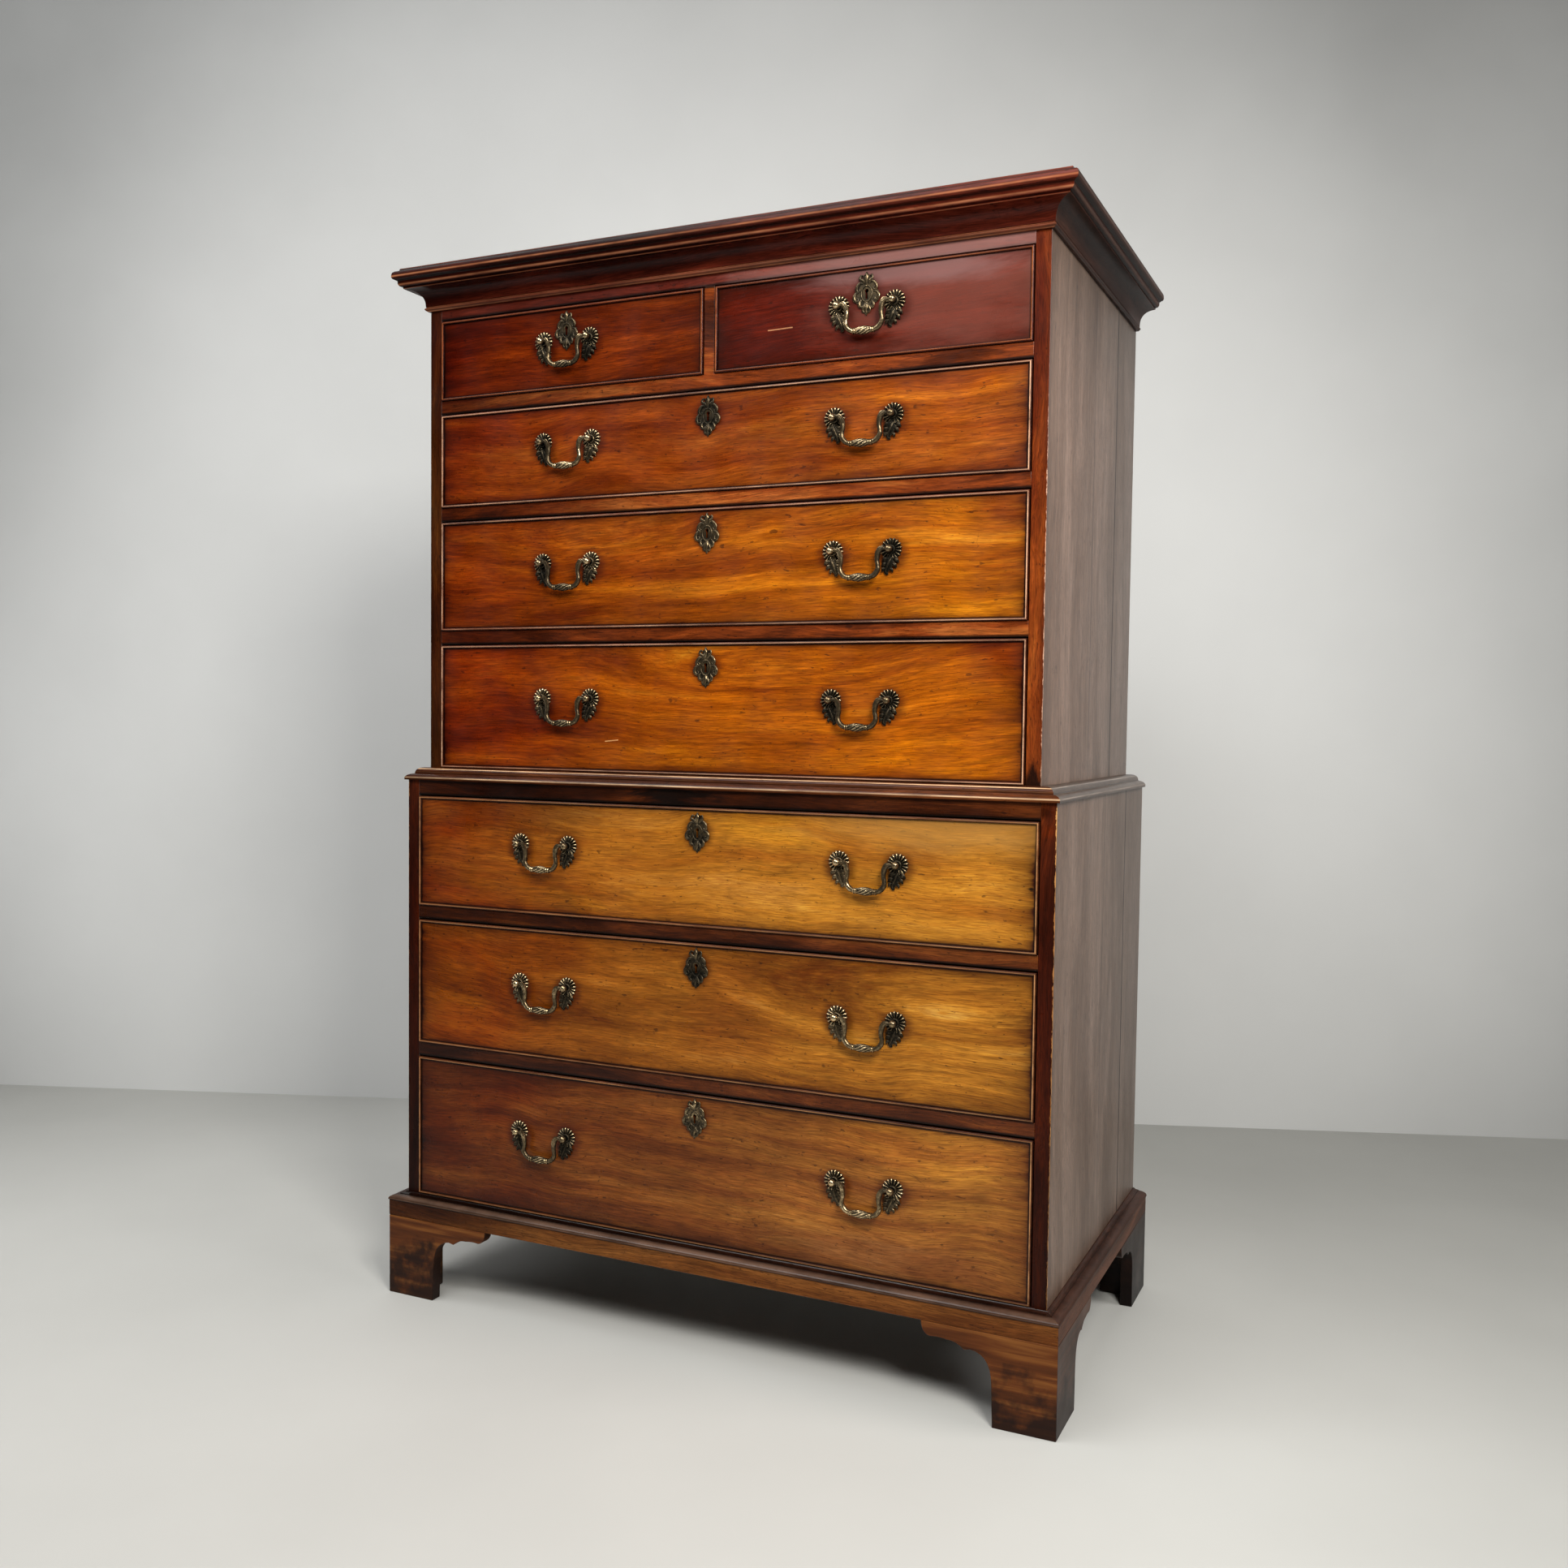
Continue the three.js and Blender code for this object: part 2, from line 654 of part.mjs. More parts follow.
// A swan-neck bail hanging from two posts, thickened to a grip in the middle
function makeBail(spacing) {
  const half = spacing / 2;
  const neckX = half - postHeadRadius - pinClearance;
  const drop = bailDrop;
  const swanShares = [
    [0.75, 0.02], [0.66, -0.06], [0.62, -0.22], [0.62, -0.45], [0.655, -0.63], [0.62, -0.8],
    [0.5, -0.93], [0.3, -0.99],
  ];
  const rightSide = [[half, 0], [neckX, 0]];
  for (const [outShare, dropShare] of swanShares) {
    rightSide.push([outShare * half, dropShare * drop]);
  }
  const leftSide = rightSide.map(([x, z]) => [-x, z]).reverse();
  const places = [...rightSide, [0, -drop], ...leftSide].map(([x, z]) => new THREE.Vector3(x, 0, z));
  const section = new THREE.Shape();
  section.absarc(0, 0, bailRadius, 0, 2 * Math.PI);
  const wire = new THREE.ExtrudeGeometry(section, {
    steps: bailSteps,
    curveSegments: bailSides / 2,
    extrudePath: new THREE.CatmullRomCurve3(places, false, 'centripetal'),
  });
  const gripShares = [[0, -0.5], [0.75, -0.5], [0.7, -0.4], [1, 0], [0.7, 0.4], [0.75, 0.5], [0, 0.5]];
  const gripPoints = gripShares.map(
    ([radiusShare, lengthShare]) => new THREE.Vector2(radiusShare * gripRadius, lengthShare * gripLength));
  const grip = new THREE.LatheGeometry(gripPoints, bailSides).rotateZ(Math.PI / 2).translate(0, 0, -drop);
  return joined([wire, grip]);
}

// The keyhole, drawn round its own middle
function keyholeOutline(z) {
  const shape = new THREE.Shape();
  const roundZ = z + keyholeHeight / 2 - keyholeRadius;
  const slotHalf = keySlotWidth / 2;
  const halfAngle = Math.asin(slotHalf / keyholeRadius);
  shape.moveTo(-slotHalf, z - keyholeHeight / 2);
  shape.lineTo(slotHalf, z - keyholeHeight / 2);
  shape.absarc(0, roundZ, keyholeRadius, halfAngle - Math.PI / 2, 1.5 * Math.PI - halfAngle, false);
  return shape;
}

// A lock: its cast escutcheon on the front's face, a neck through the front, and its case let
// into the back of the front
function makeLock(height) {
  const topZ = height - beadWidth - escutcheonDrop / 2;
  const keyZ = topZ - escutcheonHeight / 2;
  const halfShares = [
    [0.2, -0.03], [0.42, -0.12], [0.36, -0.2], [0.66, -0.28], [0.97, -0.4], [1, -0.52],
    [0.8, -0.64], [0.72, -0.74], [0.4, -0.8], [0.34, -0.9], [0.14, -0.97],
  ];
  const place = (side) => ([outShare, downShare]) => [
    side * outShare * escutcheonWidth / 2, topZ + downShare * escutcheonHeight,
  ];
  const plate = outline([
    [0, topZ], ...halfShares.map(place(1)), [0, topZ - escutcheonHeight],
    ...halfShares.map(place(-1)).reverse(),
  ]);
  const mortiseY = drawerFrontThickness - lockMortiseDepth;
  const caseTopZ = topZ - escutcheonThickness;
  const neckLength = mortiseY + overrun + escutcheonThickness / 2;
  const neck = new THREE.CylinderGeometry(lockNeckRadius, lockNeckRadius, neckLength, roundSides);
  neck.translate(0, neckLength / 2 - escutcheonThickness / 2, keyZ);
  const body = joined([
    frontPlate(plate, -escutcheonThickness, 0),
    neck,
    box([-lockCaseWidth / 2, lockCaseWidth / 2], [mortiseY + jointGap, drawerFrontThickness],
      [caseTopZ - lockCaseHeight, caseTopZ]),
  ]);
  const mortise = [
    box([-lockCaseWidth / 2 - jointGap, lockCaseWidth / 2 + jointGap],
      [mortiseY, drawerFrontThickness + overrun],
      [caseTopZ - lockCaseHeight - jointGap, caseTopZ + jointGap]),
  ];
  const holeRadius = lockNeckRadius + jointGap;
  const holeLength = mortiseY + 2 * overrun;
  const hole = new THREE.CylinderGeometry(holeRadius, holeRadius, holeLength, roundSides);
  mortise.push(hole.translate(0, holeLength / 2 - overrun, keyZ));
  const keyhole = frontPlate(keyholeOutline(keyZ), -escutcheonThickness - overrun, keyholeDepth);
  return { lock: cut(body, [keyhole]), mortise };
}

// One drawer with its front, box, lock and bails, in a group whose origin is at the foot of its face
function makeDrawer({ name, height, heightShare, halfWidth, depth, handles, spacing }) {
  const group = new THREE.Group();
  const handleZ = heightShare * height;
  const { lock, mortise } = makeLock(height);

  const frontSolids = [
    box([-halfWidth, halfWidth], [0, drawerFrontThickness], [0, height]),
    beadFrame(halfWidth, height),
  ];
  const frontCuts = [...mortise, ...dovetailSockets(height, halfWidth)];
  for (const { x } of handles) {
    for (const side of [-1, 1]) {
      const postX = x + side * spacing / 2;
      frontSolids.push(makeRose(postX, handleZ, -side), makePost(postX, handleZ));
      frontCuts.push(makePinBore(postX, handleZ, -side));
    }
  }
  group.add(piece(`${name}_drawer_front`, cut(joined(frontSolids), frontCuts), frontMahogany));
  group.add(piece(`${name}_drawer_lock`, lock, agedBrass));

  const innerX = halfWidth - drawerSideThickness;
  const letInX = innerX + drawerSideThickness / 2;
  const bottomZ = [drawerBottomRaise, drawerBottomRaise + drawerBottomThickness];
  const sides = drawerSideOutline(height, depth);
  group.add(piece(`${name}_drawer_box`, joined([
    sidePlate(sides, innerX, halfWidth),
    sidePlate(sides, -halfWidth, -innerX),
    box([-letInX, letInX], [drawerFrontThickness, depth], bottomZ),
    box([-letInX, letInX], [depth - drawerBackThickness, depth], [bottomZ[0], height - drawerBackDrop]),
  ]), liningOak));

  for (const { x, label } of handles) {
    const bail = piece(`${name}_drawer_${label}`, makeBail(spacing), agedBrass);
    bail.position.set(x, pivotY, handleZ);
    group.add(bail);
  }
  return group;
}

function makeLongDrawer(plan, drawer, widthShare) {
  const halfWidth = plan.halfWidth - sideThickness - drawerSideClearance;
  const handleX = widthShare * halfWidth;
  const group = makeDrawer({
    ...drawer,
    halfWidth,
    depth: caseDepth - plan.frontY - backThickness - drawerStopGap,
    handles: [{ x: -handleX, label: 'left_bail' }, { x: handleX, label: 'right_bail' }],
    spacing: handleSpacing,
  });
  group.position.set(0, plan.frontY, drawer.z);
  return group;
}

function makeShortDrawer(plan, drawer, side) {
  const innerX = partitionThickness / 2 + drawerSideClearance;
  const outerX = plan.halfWidth - sideThickness - drawerSideClearance;
  const group = makeDrawer({
    ...drawer,
    name: side < 0 ? 'short_left' : 'short_right',
    halfWidth: (outerX - innerX) / 2,
    depth: caseDepth - plan.frontY - backThickness - drawerStopGap,
    handles: [{ x: 0, label: 'bail' }],
    spacing: shortHandleSpacing,
  });
  group.position.set(side * (outerX + innerX) / 2, plan.frontY, drawer.z);
  return group;
}

// The whole chest, moved so that the origin is under the middle of its outline
const chest = new THREE.Group();
chest.add(makeCase(lowerCase), makeCase(upperCase));
chest.add(makeFeet(), makeBaseMoulding(), makeWaistMoulding(), makeCornice());
for (const drawer of drawerPlans.lower) {
  chest.add(makeLongDrawer(lowerCase, drawer, lowerHandleWidthShare));
}
for (const drawer of drawerPlans.upper.slice(0, -1)) {
  chest.add(makeLongDrawer(upperCase, drawer, upperHandleWidthShare));
}
for (const side of [-1, 1]) {
  chest.add(makeShortDrawer(upperCase, drawerPlans.upper.at(-1), side));
}
const middle = new THREE.Box3().setFromObject(chest, true).getCenter(new THREE.Vector3());
chest.position.set(-middle.x, -middle.y, 0);

export default chest;
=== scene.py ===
# A mahogany chest on chest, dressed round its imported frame: case, mouldings, feet, beaded
# drawers, and cast brasses. Metres, +Z up, drawers facing -Y.
import json
import math
from functools import partial

import bmesh
import bpy
from mathutils import Matrix, Vector

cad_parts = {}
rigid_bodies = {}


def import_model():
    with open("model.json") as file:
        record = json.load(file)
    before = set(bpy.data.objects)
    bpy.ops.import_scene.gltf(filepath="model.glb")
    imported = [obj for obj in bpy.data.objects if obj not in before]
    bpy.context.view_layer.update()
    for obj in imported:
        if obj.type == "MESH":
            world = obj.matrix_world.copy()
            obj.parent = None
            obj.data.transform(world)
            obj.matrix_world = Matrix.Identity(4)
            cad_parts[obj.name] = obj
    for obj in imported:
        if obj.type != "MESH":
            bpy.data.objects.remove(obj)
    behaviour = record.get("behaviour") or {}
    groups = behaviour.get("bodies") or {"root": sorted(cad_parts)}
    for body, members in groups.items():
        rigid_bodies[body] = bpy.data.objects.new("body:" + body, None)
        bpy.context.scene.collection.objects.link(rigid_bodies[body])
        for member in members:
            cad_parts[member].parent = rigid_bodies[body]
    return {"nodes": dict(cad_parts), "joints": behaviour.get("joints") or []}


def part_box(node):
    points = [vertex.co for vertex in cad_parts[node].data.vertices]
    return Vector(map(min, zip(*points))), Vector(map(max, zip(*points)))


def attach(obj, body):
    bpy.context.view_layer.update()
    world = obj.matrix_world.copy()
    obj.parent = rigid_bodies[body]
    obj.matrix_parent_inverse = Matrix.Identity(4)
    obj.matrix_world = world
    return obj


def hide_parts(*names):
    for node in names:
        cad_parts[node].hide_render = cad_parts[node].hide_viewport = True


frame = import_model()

scene = bpy.context.scene
scene.view_settings.view_transform = "Standard"
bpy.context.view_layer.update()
MM = 0.001


# The room: a white painted wall that runs at a slant behind the chest, and a pale screed floor.
# Soft light falls from a broad lamp in front on the right, from one overhead and from one at the
# right side. Two more light the wall: one from above, and a weak one low on the left.
def linear(colour):
    """A colour written as sRGB hex, as the shaders want it."""
    values = [int(colour[i:i + 2], 16) / 255 for i in (1, 3, 5)]
    return [v / 12.92 if v <= 0.04045 else ((v + 0.055) / 1.055) ** 2.4 for v in values] + [1]


def add_node(tree, kind, inputs=(), stops=(), **settings):
    """Adds a node. Its inputs are listed in their order, or by name or number. Each is a number, a
    hex colour, a socket, or a node, which stands for its first output in use. stops are the
    (place, colour) or (place, grey) rows of a colour ramp."""
    node = tree.nodes.new("ShaderNode" + kind)
    for name, value in settings.items():
        setattr(node, name, value)
    for socket, value in inputs.items() if isinstance(inputs, dict) else enumerate(inputs):
        if isinstance(value, bpy.types.Node):
            value = next(output for output in value.outputs if output.enabled)
        if isinstance(value, bpy.types.NodeSocket):
            tree.links.new(value, node.inputs[socket])
        else:
            node.inputs[socket].default_value = linear(value) if isinstance(value, str) else value
    if stops:
        elements = node.color_ramp.elements
        while len(elements) < len(stops):
            elements.new(1)
        for element, (place, colour) in zip(elements, stops):
            element.position = place
            element.color = linear(colour) if isinstance(colour, str) else [colour] * 3 + [1]
    return node


def new_material(name):
    """A new material, and what adds nodes to it."""
    material = bpy.data.materials.new(name)
    material.use_nodes = True
    material.node_tree.nodes.clear()
    return material, partial(add_node, material.node_tree)


def flat_stage(name, corners, material):
    """A floor or a wall, from its four corners."""
    bm = bmesh.new()
    bm.faces.new([bm.verts.new(corner) for corner in corners])
    mesh = bpy.data.meshes.new(name)
    bm.to_mesh(mesh)
    bm.free()
    mesh.materials.append(material)
    sheet = bpy.data.objects.new(name, mesh)
    scene.collection.objects.link(sheet)


def room_finish(name, tones, patch_size, middle, reach):
    """Emulsion on plaster, or trowelled screed: dead flat, with faint cloudy patches, and painted
    shade that darkens it away from the middle. It shows only from the room's side, so views from
    behind look through."""
    material, add = new_material(name)
    place = add("TexCoord").outputs["Object"]
    cloud = add("TexNoise", {"Vector": place, "Scale": 1 / patch_size, "Detail": 5})
    off = add("VectorMath", [place, middle], operation="DISTANCE")
    # Painted shade: the paint darkens between the two distances of reach from the middle
    painted_falloff = add("MapRange", [off, *reach, 0.85, 0.15], interpolation_type="SMOOTHSTEP")
    share = add("Math", [painted_falloff, add("MapRange", [cloud, 0, 1, -0.15, 0.15])], operation="ADD")
    tone = add("ValToRGB", [share], [(0.1, tones[0]), (0.9, tones[1])])
    paint = add("BsdfPrincipled", {"Base Color": tone, "Roughness": 0.6, "Specular IOR Level": 0.3})
    behind = add("NewGeometry").outputs["Backfacing"]
    add("OutputMaterial", [add("MixShader", [behind, paint, add("BsdfTransparent")])])
    return material


floor_paint = room_finish("trowelled_screed", ("#93938f", "#c6c6c2"), 0.6, (-0.30, -0.9, 0), (0.9, 2.8))
wall_paint = room_finish("wall_emulsion", ("#767776", "#d0d1d0"), 0.9, (-0.7, 1.0, 0.5), (1.4, 3.1))
FLOOR_REACH = 9
wall_left = Vector((-2.40, 0.313, 0))
wall_right = Vector((1.30, 1.677, 0))
along_wall = (wall_right - wall_left).normalized()
wall_ends = [wall_left - along_wall * 4, wall_right + along_wall * 5]
wall_height = Vector((0, 0, 4.2))
flat_stage("floor", [(x * FLOOR_REACH, y * FLOOR_REACH, 0) for x, y in
                     ((-1, -1), (1, -1), (1, 1), (-1, 1))], floor_paint)
flat_stage("wall", wall_ends + [wall_ends[1] + wall_height, wall_ends[0] + wall_height], wall_paint)

# Each lamp's place, what it is aimed at, its width and height, its watts and its colour
for name, place, target, size, power, colour in (
        ("front_lamp", (1.8, -1.95, 2.5), (0.3, -0.3, 0.7), (0.8, 1.0), 82, "#fffcf6"),
        ("overhead_lamp", (-0.3, -2.6, 3.6), (-0.6, -1.3, 0), (2.8, 0.7), 54, "#ffffff"),
        ("side_lamp", (3.4, 0.2, 2.6), (0.3, 0, 0.9), (1.4, 1.6), 60, "#fffdfb"),
        ("wall_lamp", (-1.6, -1.4, 3.8), (-1.5, 0.7, 0.0), (2.2, 1.5), 54, "#ffffff"),
        ("left_fill_lamp", (-2.2, -0.6, 0.9), (-0.8, 0.75, 0.45), (0.9, 0.9), 3.2, "#ffffff")):
    data = bpy.data.lights.new(name, "AREA")
    data.shape = "RECTANGLE"
    data.size, data.size_y = size
    data.energy = power
    data.color = linear(colour)[:3]
    light = bpy.data.objects.new(name, data)
    scene.collection.objects.link(light)
    light.location = place
    light.rotation_euler = (Vector(target) - Vector(place)).to_track_quat("-Z", "Y").to_euler()

# The room behind the camera is dim, so the polish keeps its depth; the wall side is pale.
world = bpy.data.worlds.new("room_light")
scene.world = world
world.use_nodes = True
sky = world.node_tree
towards = add_node(sky, "SeparateXYZ", [add_node(sky, "TexCoord").outputs["Generated"]])
brightness = add_node(sky, "MapRange", [towards.outputs["Y"], -0.3, 0.7, 0.03, 0.13])
sky.links.new(brightness.outputs[0], sky.nodes["Background"].inputs["Strength"])
sky.nodes["Background"].inputs["Color"].default_value = linear("#dfe1e1")

# The camera stands where the photograph's did: low, close, and to the right of the chest.
camera_place = Vector((1.0517, -2.2242, 0.9934))
camera_yaw, camera_pitch, camera_roll = 0.4369, -0.0455, 0.0121
ahead = Vector((-math.sin(camera_yaw) * math.cos(camera_pitch),
                math.cos(camera_yaw) * math.cos(camera_pitch), math.sin(camera_pitch)))
level_right = Vector((math.cos(camera_yaw), math.sin(camera_yaw), 0))
level_up = level_right.cross(ahead)
right = math.cos(camera_roll) * level_right + math.sin(camera_roll) * level_up
up = -math.sin(camera_roll) * level_right + math.cos(camera_roll) * level_up
camera_data = bpy.data.cameras.new("camera")
camera_data.lens = 32.93
camera_data.sensor_width = 36
camera = bpy.data.objects.new("camera", camera_data)
scene.collection.objects.link(camera)
camera.matrix_world = Matrix.Translation(camera_place) @ Matrix(
    (right, up, -ahead)).transposed().to_4x4()
scene.camera = camera


# The two carcases: sides, tops, bottoms, dividers and frieze of solid mahogany, housed and
# glued. Old French polish has gone dark on the rails and grey on the sides, and the front
# corners are rubbed through to pale wood.
def polished_mahogany(name, tones, seed, vertical=False, streak=1.0, spread=1.0, waviness=0.075,
                      plume=None, mottling=0.27, cloudiness=0.0, polish=0.3, gloss=0.3, ripples=0.12,
                      rim=None, arris=None, painted_left_shade=None, stain=None, painted_gap_shadows=(), seams=(), fades=(),
                      scores=(), places=(), painted_sheens=(), fittings=(), highlight_and_wear=None):
    """Mahogany under French polish: a deep satin gloss over a long streaky figure.

    The wood: tones runs from the darkest streak to the lightest, and spread widens the range
    between them. streak is how far the streaks bend, waviness how far the grain wanders. plume is
    the (x, z) middle of a crotch figure. mottling and cloudiness are the strengths of the cross
    mottle and of the dark clouds. The polish: its roughness, its gloss and its ripples.
    The marks, in metres: rim is (middle x, middle z, half width, half height) of a drawer front
    that darkens towards its edges, with a line of painted shade in the crevice inside its cockbead.
    arris is (half width, face y, wear, colour) of a case whose front corners are scuffed through.
    dusk is (amount, tint, x) of painted shade, with a darker finish as well, at the left end of a
    front, and where it begins. stain is (x, z, half length, half height) of a spill. undersides are
    the heights of rail edges with a painted shadow along them, and seams the (depth, darkness) of
    open glue lines. fades are the (axis, start, end, tint) of a tint that grows. scores are the
    (x, z, half length, tilt) of pale scratches. places and hazes are the (x, z, half length, half
    height, tint, amount) of soft places in another tone and of milky ones; on the drawer fronts
    and the frieze both are painted sheen and reflection. fittings are the (x, y, z, radius) of
    brasses with a darker ring round them. worn is the colour of the painted highlight on the noses
    of a moulding, partly real wear; where the wear falls below zero, painted shade darkens the
    hollows.
    """
    material, add = new_material(name)
    place = add("TexCoord").outputs["Object"]
    apart = add("SeparateXYZ", [place]).outputs
    layers = []

    def along_grain(across, along, shift):
        """How a pattern lies, from its repeats in a metre across the grain and along it."""
        scale = (across, across, along) if vertical else (along, along, across)
        return {"Location": (seed + shift, seed, -seed), "Scale": scale}

    def off_plane(axis, middle):
        """How far the surface lies from a plane across an axis."""
        return add("Math", [add("Math", [apart[axis], middle], operation="SUBTRACT")], operation="ABSOLUTE")

    def falling(distance, rate):
        """A share that is whole at no distance and falls to a third at 1 / rate."""
        return add("Math", [2.718, add("Math", [distance, -rate], operation="MULTIPLY")], operation="POWER")

    # The grain doesn't run dead straight: it rises and falls 10 to 20 mm over half a metre
    wave = add("Mapping", {"Vector": place, **along_grain(1.6, 2.0, 17)})
    wave = add("TexNoise", {"Vector": wave, "Scale": 1.3, "Detail": 2}).outputs["Color"]
    wave = add("VectorMath", [wave, (0.5, 0.5, 0.5)], operation="SUBTRACT")
    wave = add("VectorMath", {0: wave, "Scale": waviness}, operation="SCALE")
    waved = add("VectorMath", [place, wave], operation="ADD")

    # Patterns along the grain: what each is for, its repeats in a metre across and along the grain,
    # its shift, its detail and its roughness
    grain = {}
    for use, across, along, shift, detail, rough in (
            ("lines", 280, 11, 1, 4, 0.65), ("pores", 760, 50, 2, 2, 0.5), ("edge_darkening", 40, 9, 4, 5, 0.65),
            ("mottle", 14, 22, 5, 2, 0.5), ("spill", 90, 16, 6, 4, 0.75), ("dents", 110, 44, 7, 2, 0.6),
            ("pecks", 240, 96, 7, 2, 0.6), ("nose_breakup", 30, 7, 8, 4, 0.65), ("bands", 95, 3, 9, 3, 0.6),
            ("ragged", 30, 7, 10, 4, 0.65), ("shade", 9, 3, 12, 3, 0.5), ("hairs", 800, 42, 13, 2, 0.6)):
        lying = add("Mapping", {"Vector": waved, **along_grain(across, along, shift)})
        grain[use] = add("TexNoise", {"Vector": lying, "Scale": 1, "Detail": detail, "Roughness": rough})

    # Long streaks 50 to 100 mm wide, broken finer by their detail and bent by a slow wander
    wander = add("Mapping", {"Vector": waved, **along_grain(2.2, 1.1, 3)})
    wander = add("TexNoise", {"Vector": wander, "Scale": 1.3, "Detail": 2}).outputs["Color"]
    straight = add("Mapping", {"Vector": waved, **along_grain(9, 1.0, 0)})
    bent = add("MixRGB", [0.055 * streak, straight, wander], blend_type="ADD")
    if plume:
        near = add("Mapping", {"Vector": place, "Location": (-plume[0] * 3.2, 0, -plume[1] * 13),
                               "Scale": (3.2, 0, 13)})
        near = add("VectorMath", [near], operation="LENGTH")
        pull = add("Math", [falling(near, 1.1), 0.9], operation="MULTIPLY")
        bent = add("VectorMath", [bent, pull], operation="ADD")
    figure = add("TexNoise", {"Vector": bent, "Scale": 1.6, "Detail": 8, "Roughness": 0.68,
                              "Distortion": 0.35})
    figure = add("MapRange", [figure, 0.5 - 0.5 / spread, 0.5 + 0.5 / spread])
    wood = add("ValToRGB", [figure], list(zip((0.26, 0.45, 0.58, 0.76), tones)))

    # Bands 10 mm wide, lines of 4 mm and hairs of 1 mm, lighter and darker than the ground
    for use, share in (("bands", 0.2), ("lines", 0.36), ("hairs", 0.55)):
        tone = add("ValToRGB", [grain[use]], [(0.32, 0.2), (0.5, 0.5), (0.68, 0.78)])
        layers.append((share, tone, "OVERLAY"))

    # Pores 1.3 mm wide and 20 mm long, drawn coarser than life so that they show
    pores = add("MapRange", [grain["pores"], 0.59, 0.68])
    layers.append((add("Math", [pores, 0.55], operation="MULTIPLY"), tones[0], "MIX"))

    # Cross mottle of 45 to 70 mm, where the grain dips and the light catches it
    layers.append((mottling, add("ValToRGB", [grain["mottle"]], [(0.3, 0.35), (0.7, 0.65)]), "OVERLAY"))

    # Cloudy darker places of 150 to 300 mm, where the polish has lasted
    clouds = add("Mapping", {"Vector": place, "Location": (seed, 0, -seed), "Scale": (3.4, 3.4, 7)})
    clouds = add("TexNoise", {"Vector": clouds, "Scale": 1, "Detail": 4, "Roughness": 0.6})
    layers.append((cloudiness, add("ValToRGB", [clouds], [(0.36, 0.3), (0.62, 0.6)]), "OVERLAY"))

    # Old scratches and rings, here and there, and dents 9 mm and 4 mm across
    thin = add("Mapping", {"Vector": place, "Location": (seed, 0, seed), "Rotation": (0, 0.5, 0),
                           "Scale": (5, 5, 11)})
    thin = add("TexNoise", {"Vector": thin, "Scale": 2.3, "Detail": 1, "Roughness": 0.4,
                            "Distortion": 0.6})
    thin = add("Math", [add("Math", [thin, 0.5], operation="SUBTRACT")], operation="ABSOLUTE")
    here = add("MapRange", [add("TexNoise", {"Vector": place, "Scale": 9, "Detail": 2}), 0.56, 0.66])
    scratch = add("Math", [add("MapRange", [thin, 0, 0.0035, 1, 0]), here], operation="MULTIPLY")
    layers.append((add("Math", [scratch, 0.45], operation="MULTIPLY"), "#2a1208", "MIX"))
    for use, limit in (("dents", 0.685), ("pecks", 0.67)):
        knocks = add("MapRange", [grain[use], limit, limit + 0.05])
        layers.append((add("Math", [knocks, 0.6], operation="MULTIPLY"), "#23100a", "MIX"))

    if rim:
        # The front darkens towards its edges, most in the corners
        gaps, edges = [], []
        for axis, middle, half, rate, weight in (
                ("X", rim[0], rim[2], 26, 0.7), ("Z", rim[1], rim[3], 55, 0.4)):
            gap = add("Math", [half, off_plane(axis, middle)], operation="SUBTRACT")
            far = add("Math", [falling(gap, rate), weight], operation="MULTIPLY")
            gaps.append(add("Math", [falling(gap, 130), far], operation="ADD"))
            # Painted shade: a near-black band, fading out 7 mm from the edge, shows as a line in the crevice
            # just inside the cockbead
            edges.append(add("MapRange", [gap, 0.0052, 0.0072, 0.9, 0]))
        edge_darkening = add("Math", gaps, operation="MAXIMUM")
        patchy = add("MapRange", [grain["edge_darkening"], 0.3, 0.7, 0.35, 1.2])
        edge_darkening = add("Math", [edge_darkening, patchy], operation="MULTIPLY", use_clamp=True)
        layers.append((edge_darkening, "#310f04", "MIX"))
        layers.append((add("Math", edges, operation="MAXIMUM"), "#120502", "MIX"))
    if arris:
        # Two front corners rubbed through to pale wood in a broken line up to 3 mm wide
        half, face, wear, colour = arris
        side_gap = add("Math", [apart["X"]], operation="ABSOLUTE")
        side_gap = add("Math", [half, side_gap], operation="SUBTRACT")
        face_gap = add("Math", [apart["Y"], face], operation="SUBTRACT")
        reach = add("Math", [side_gap, face_gap], operation="ADD")
        breaks = add("Mapping", {"Vector": place, "Location": (seed, 0, 0), "Scale": (130, 130, 55)})
        breaks = add("TexNoise", {"Vector": breaks, "Scale": 1, "Detail": 5, "Roughness": 0.75})
        handled = add("MapRange", [apart["Z"], 1.34, 1.5, 1, 0.35])
        limit = add("Math", [add("MapRange", [breaks, 0.40, 0.66, 0.0004, wear]), handled],
                    operation="MULTIPLY")
        bare = add("Math", [limit, reach], operation="SUBTRACT")
        bare = add("Math", [bare, 1500], operation="MULTIPLY", use_clamp=True)
        layers.append((bare, colour, "MIX"))
        dark = add("Math", [falling(reach, 90), 0.55], operation="MULTIPLY")
        covered = add("Math", [1, bare], operation="SUBTRACT")
        layers.append((add("Math", [dark, covered], operation="MULTIPLY"), "#2a1009", "MIX"))
    if painted_left_shade:
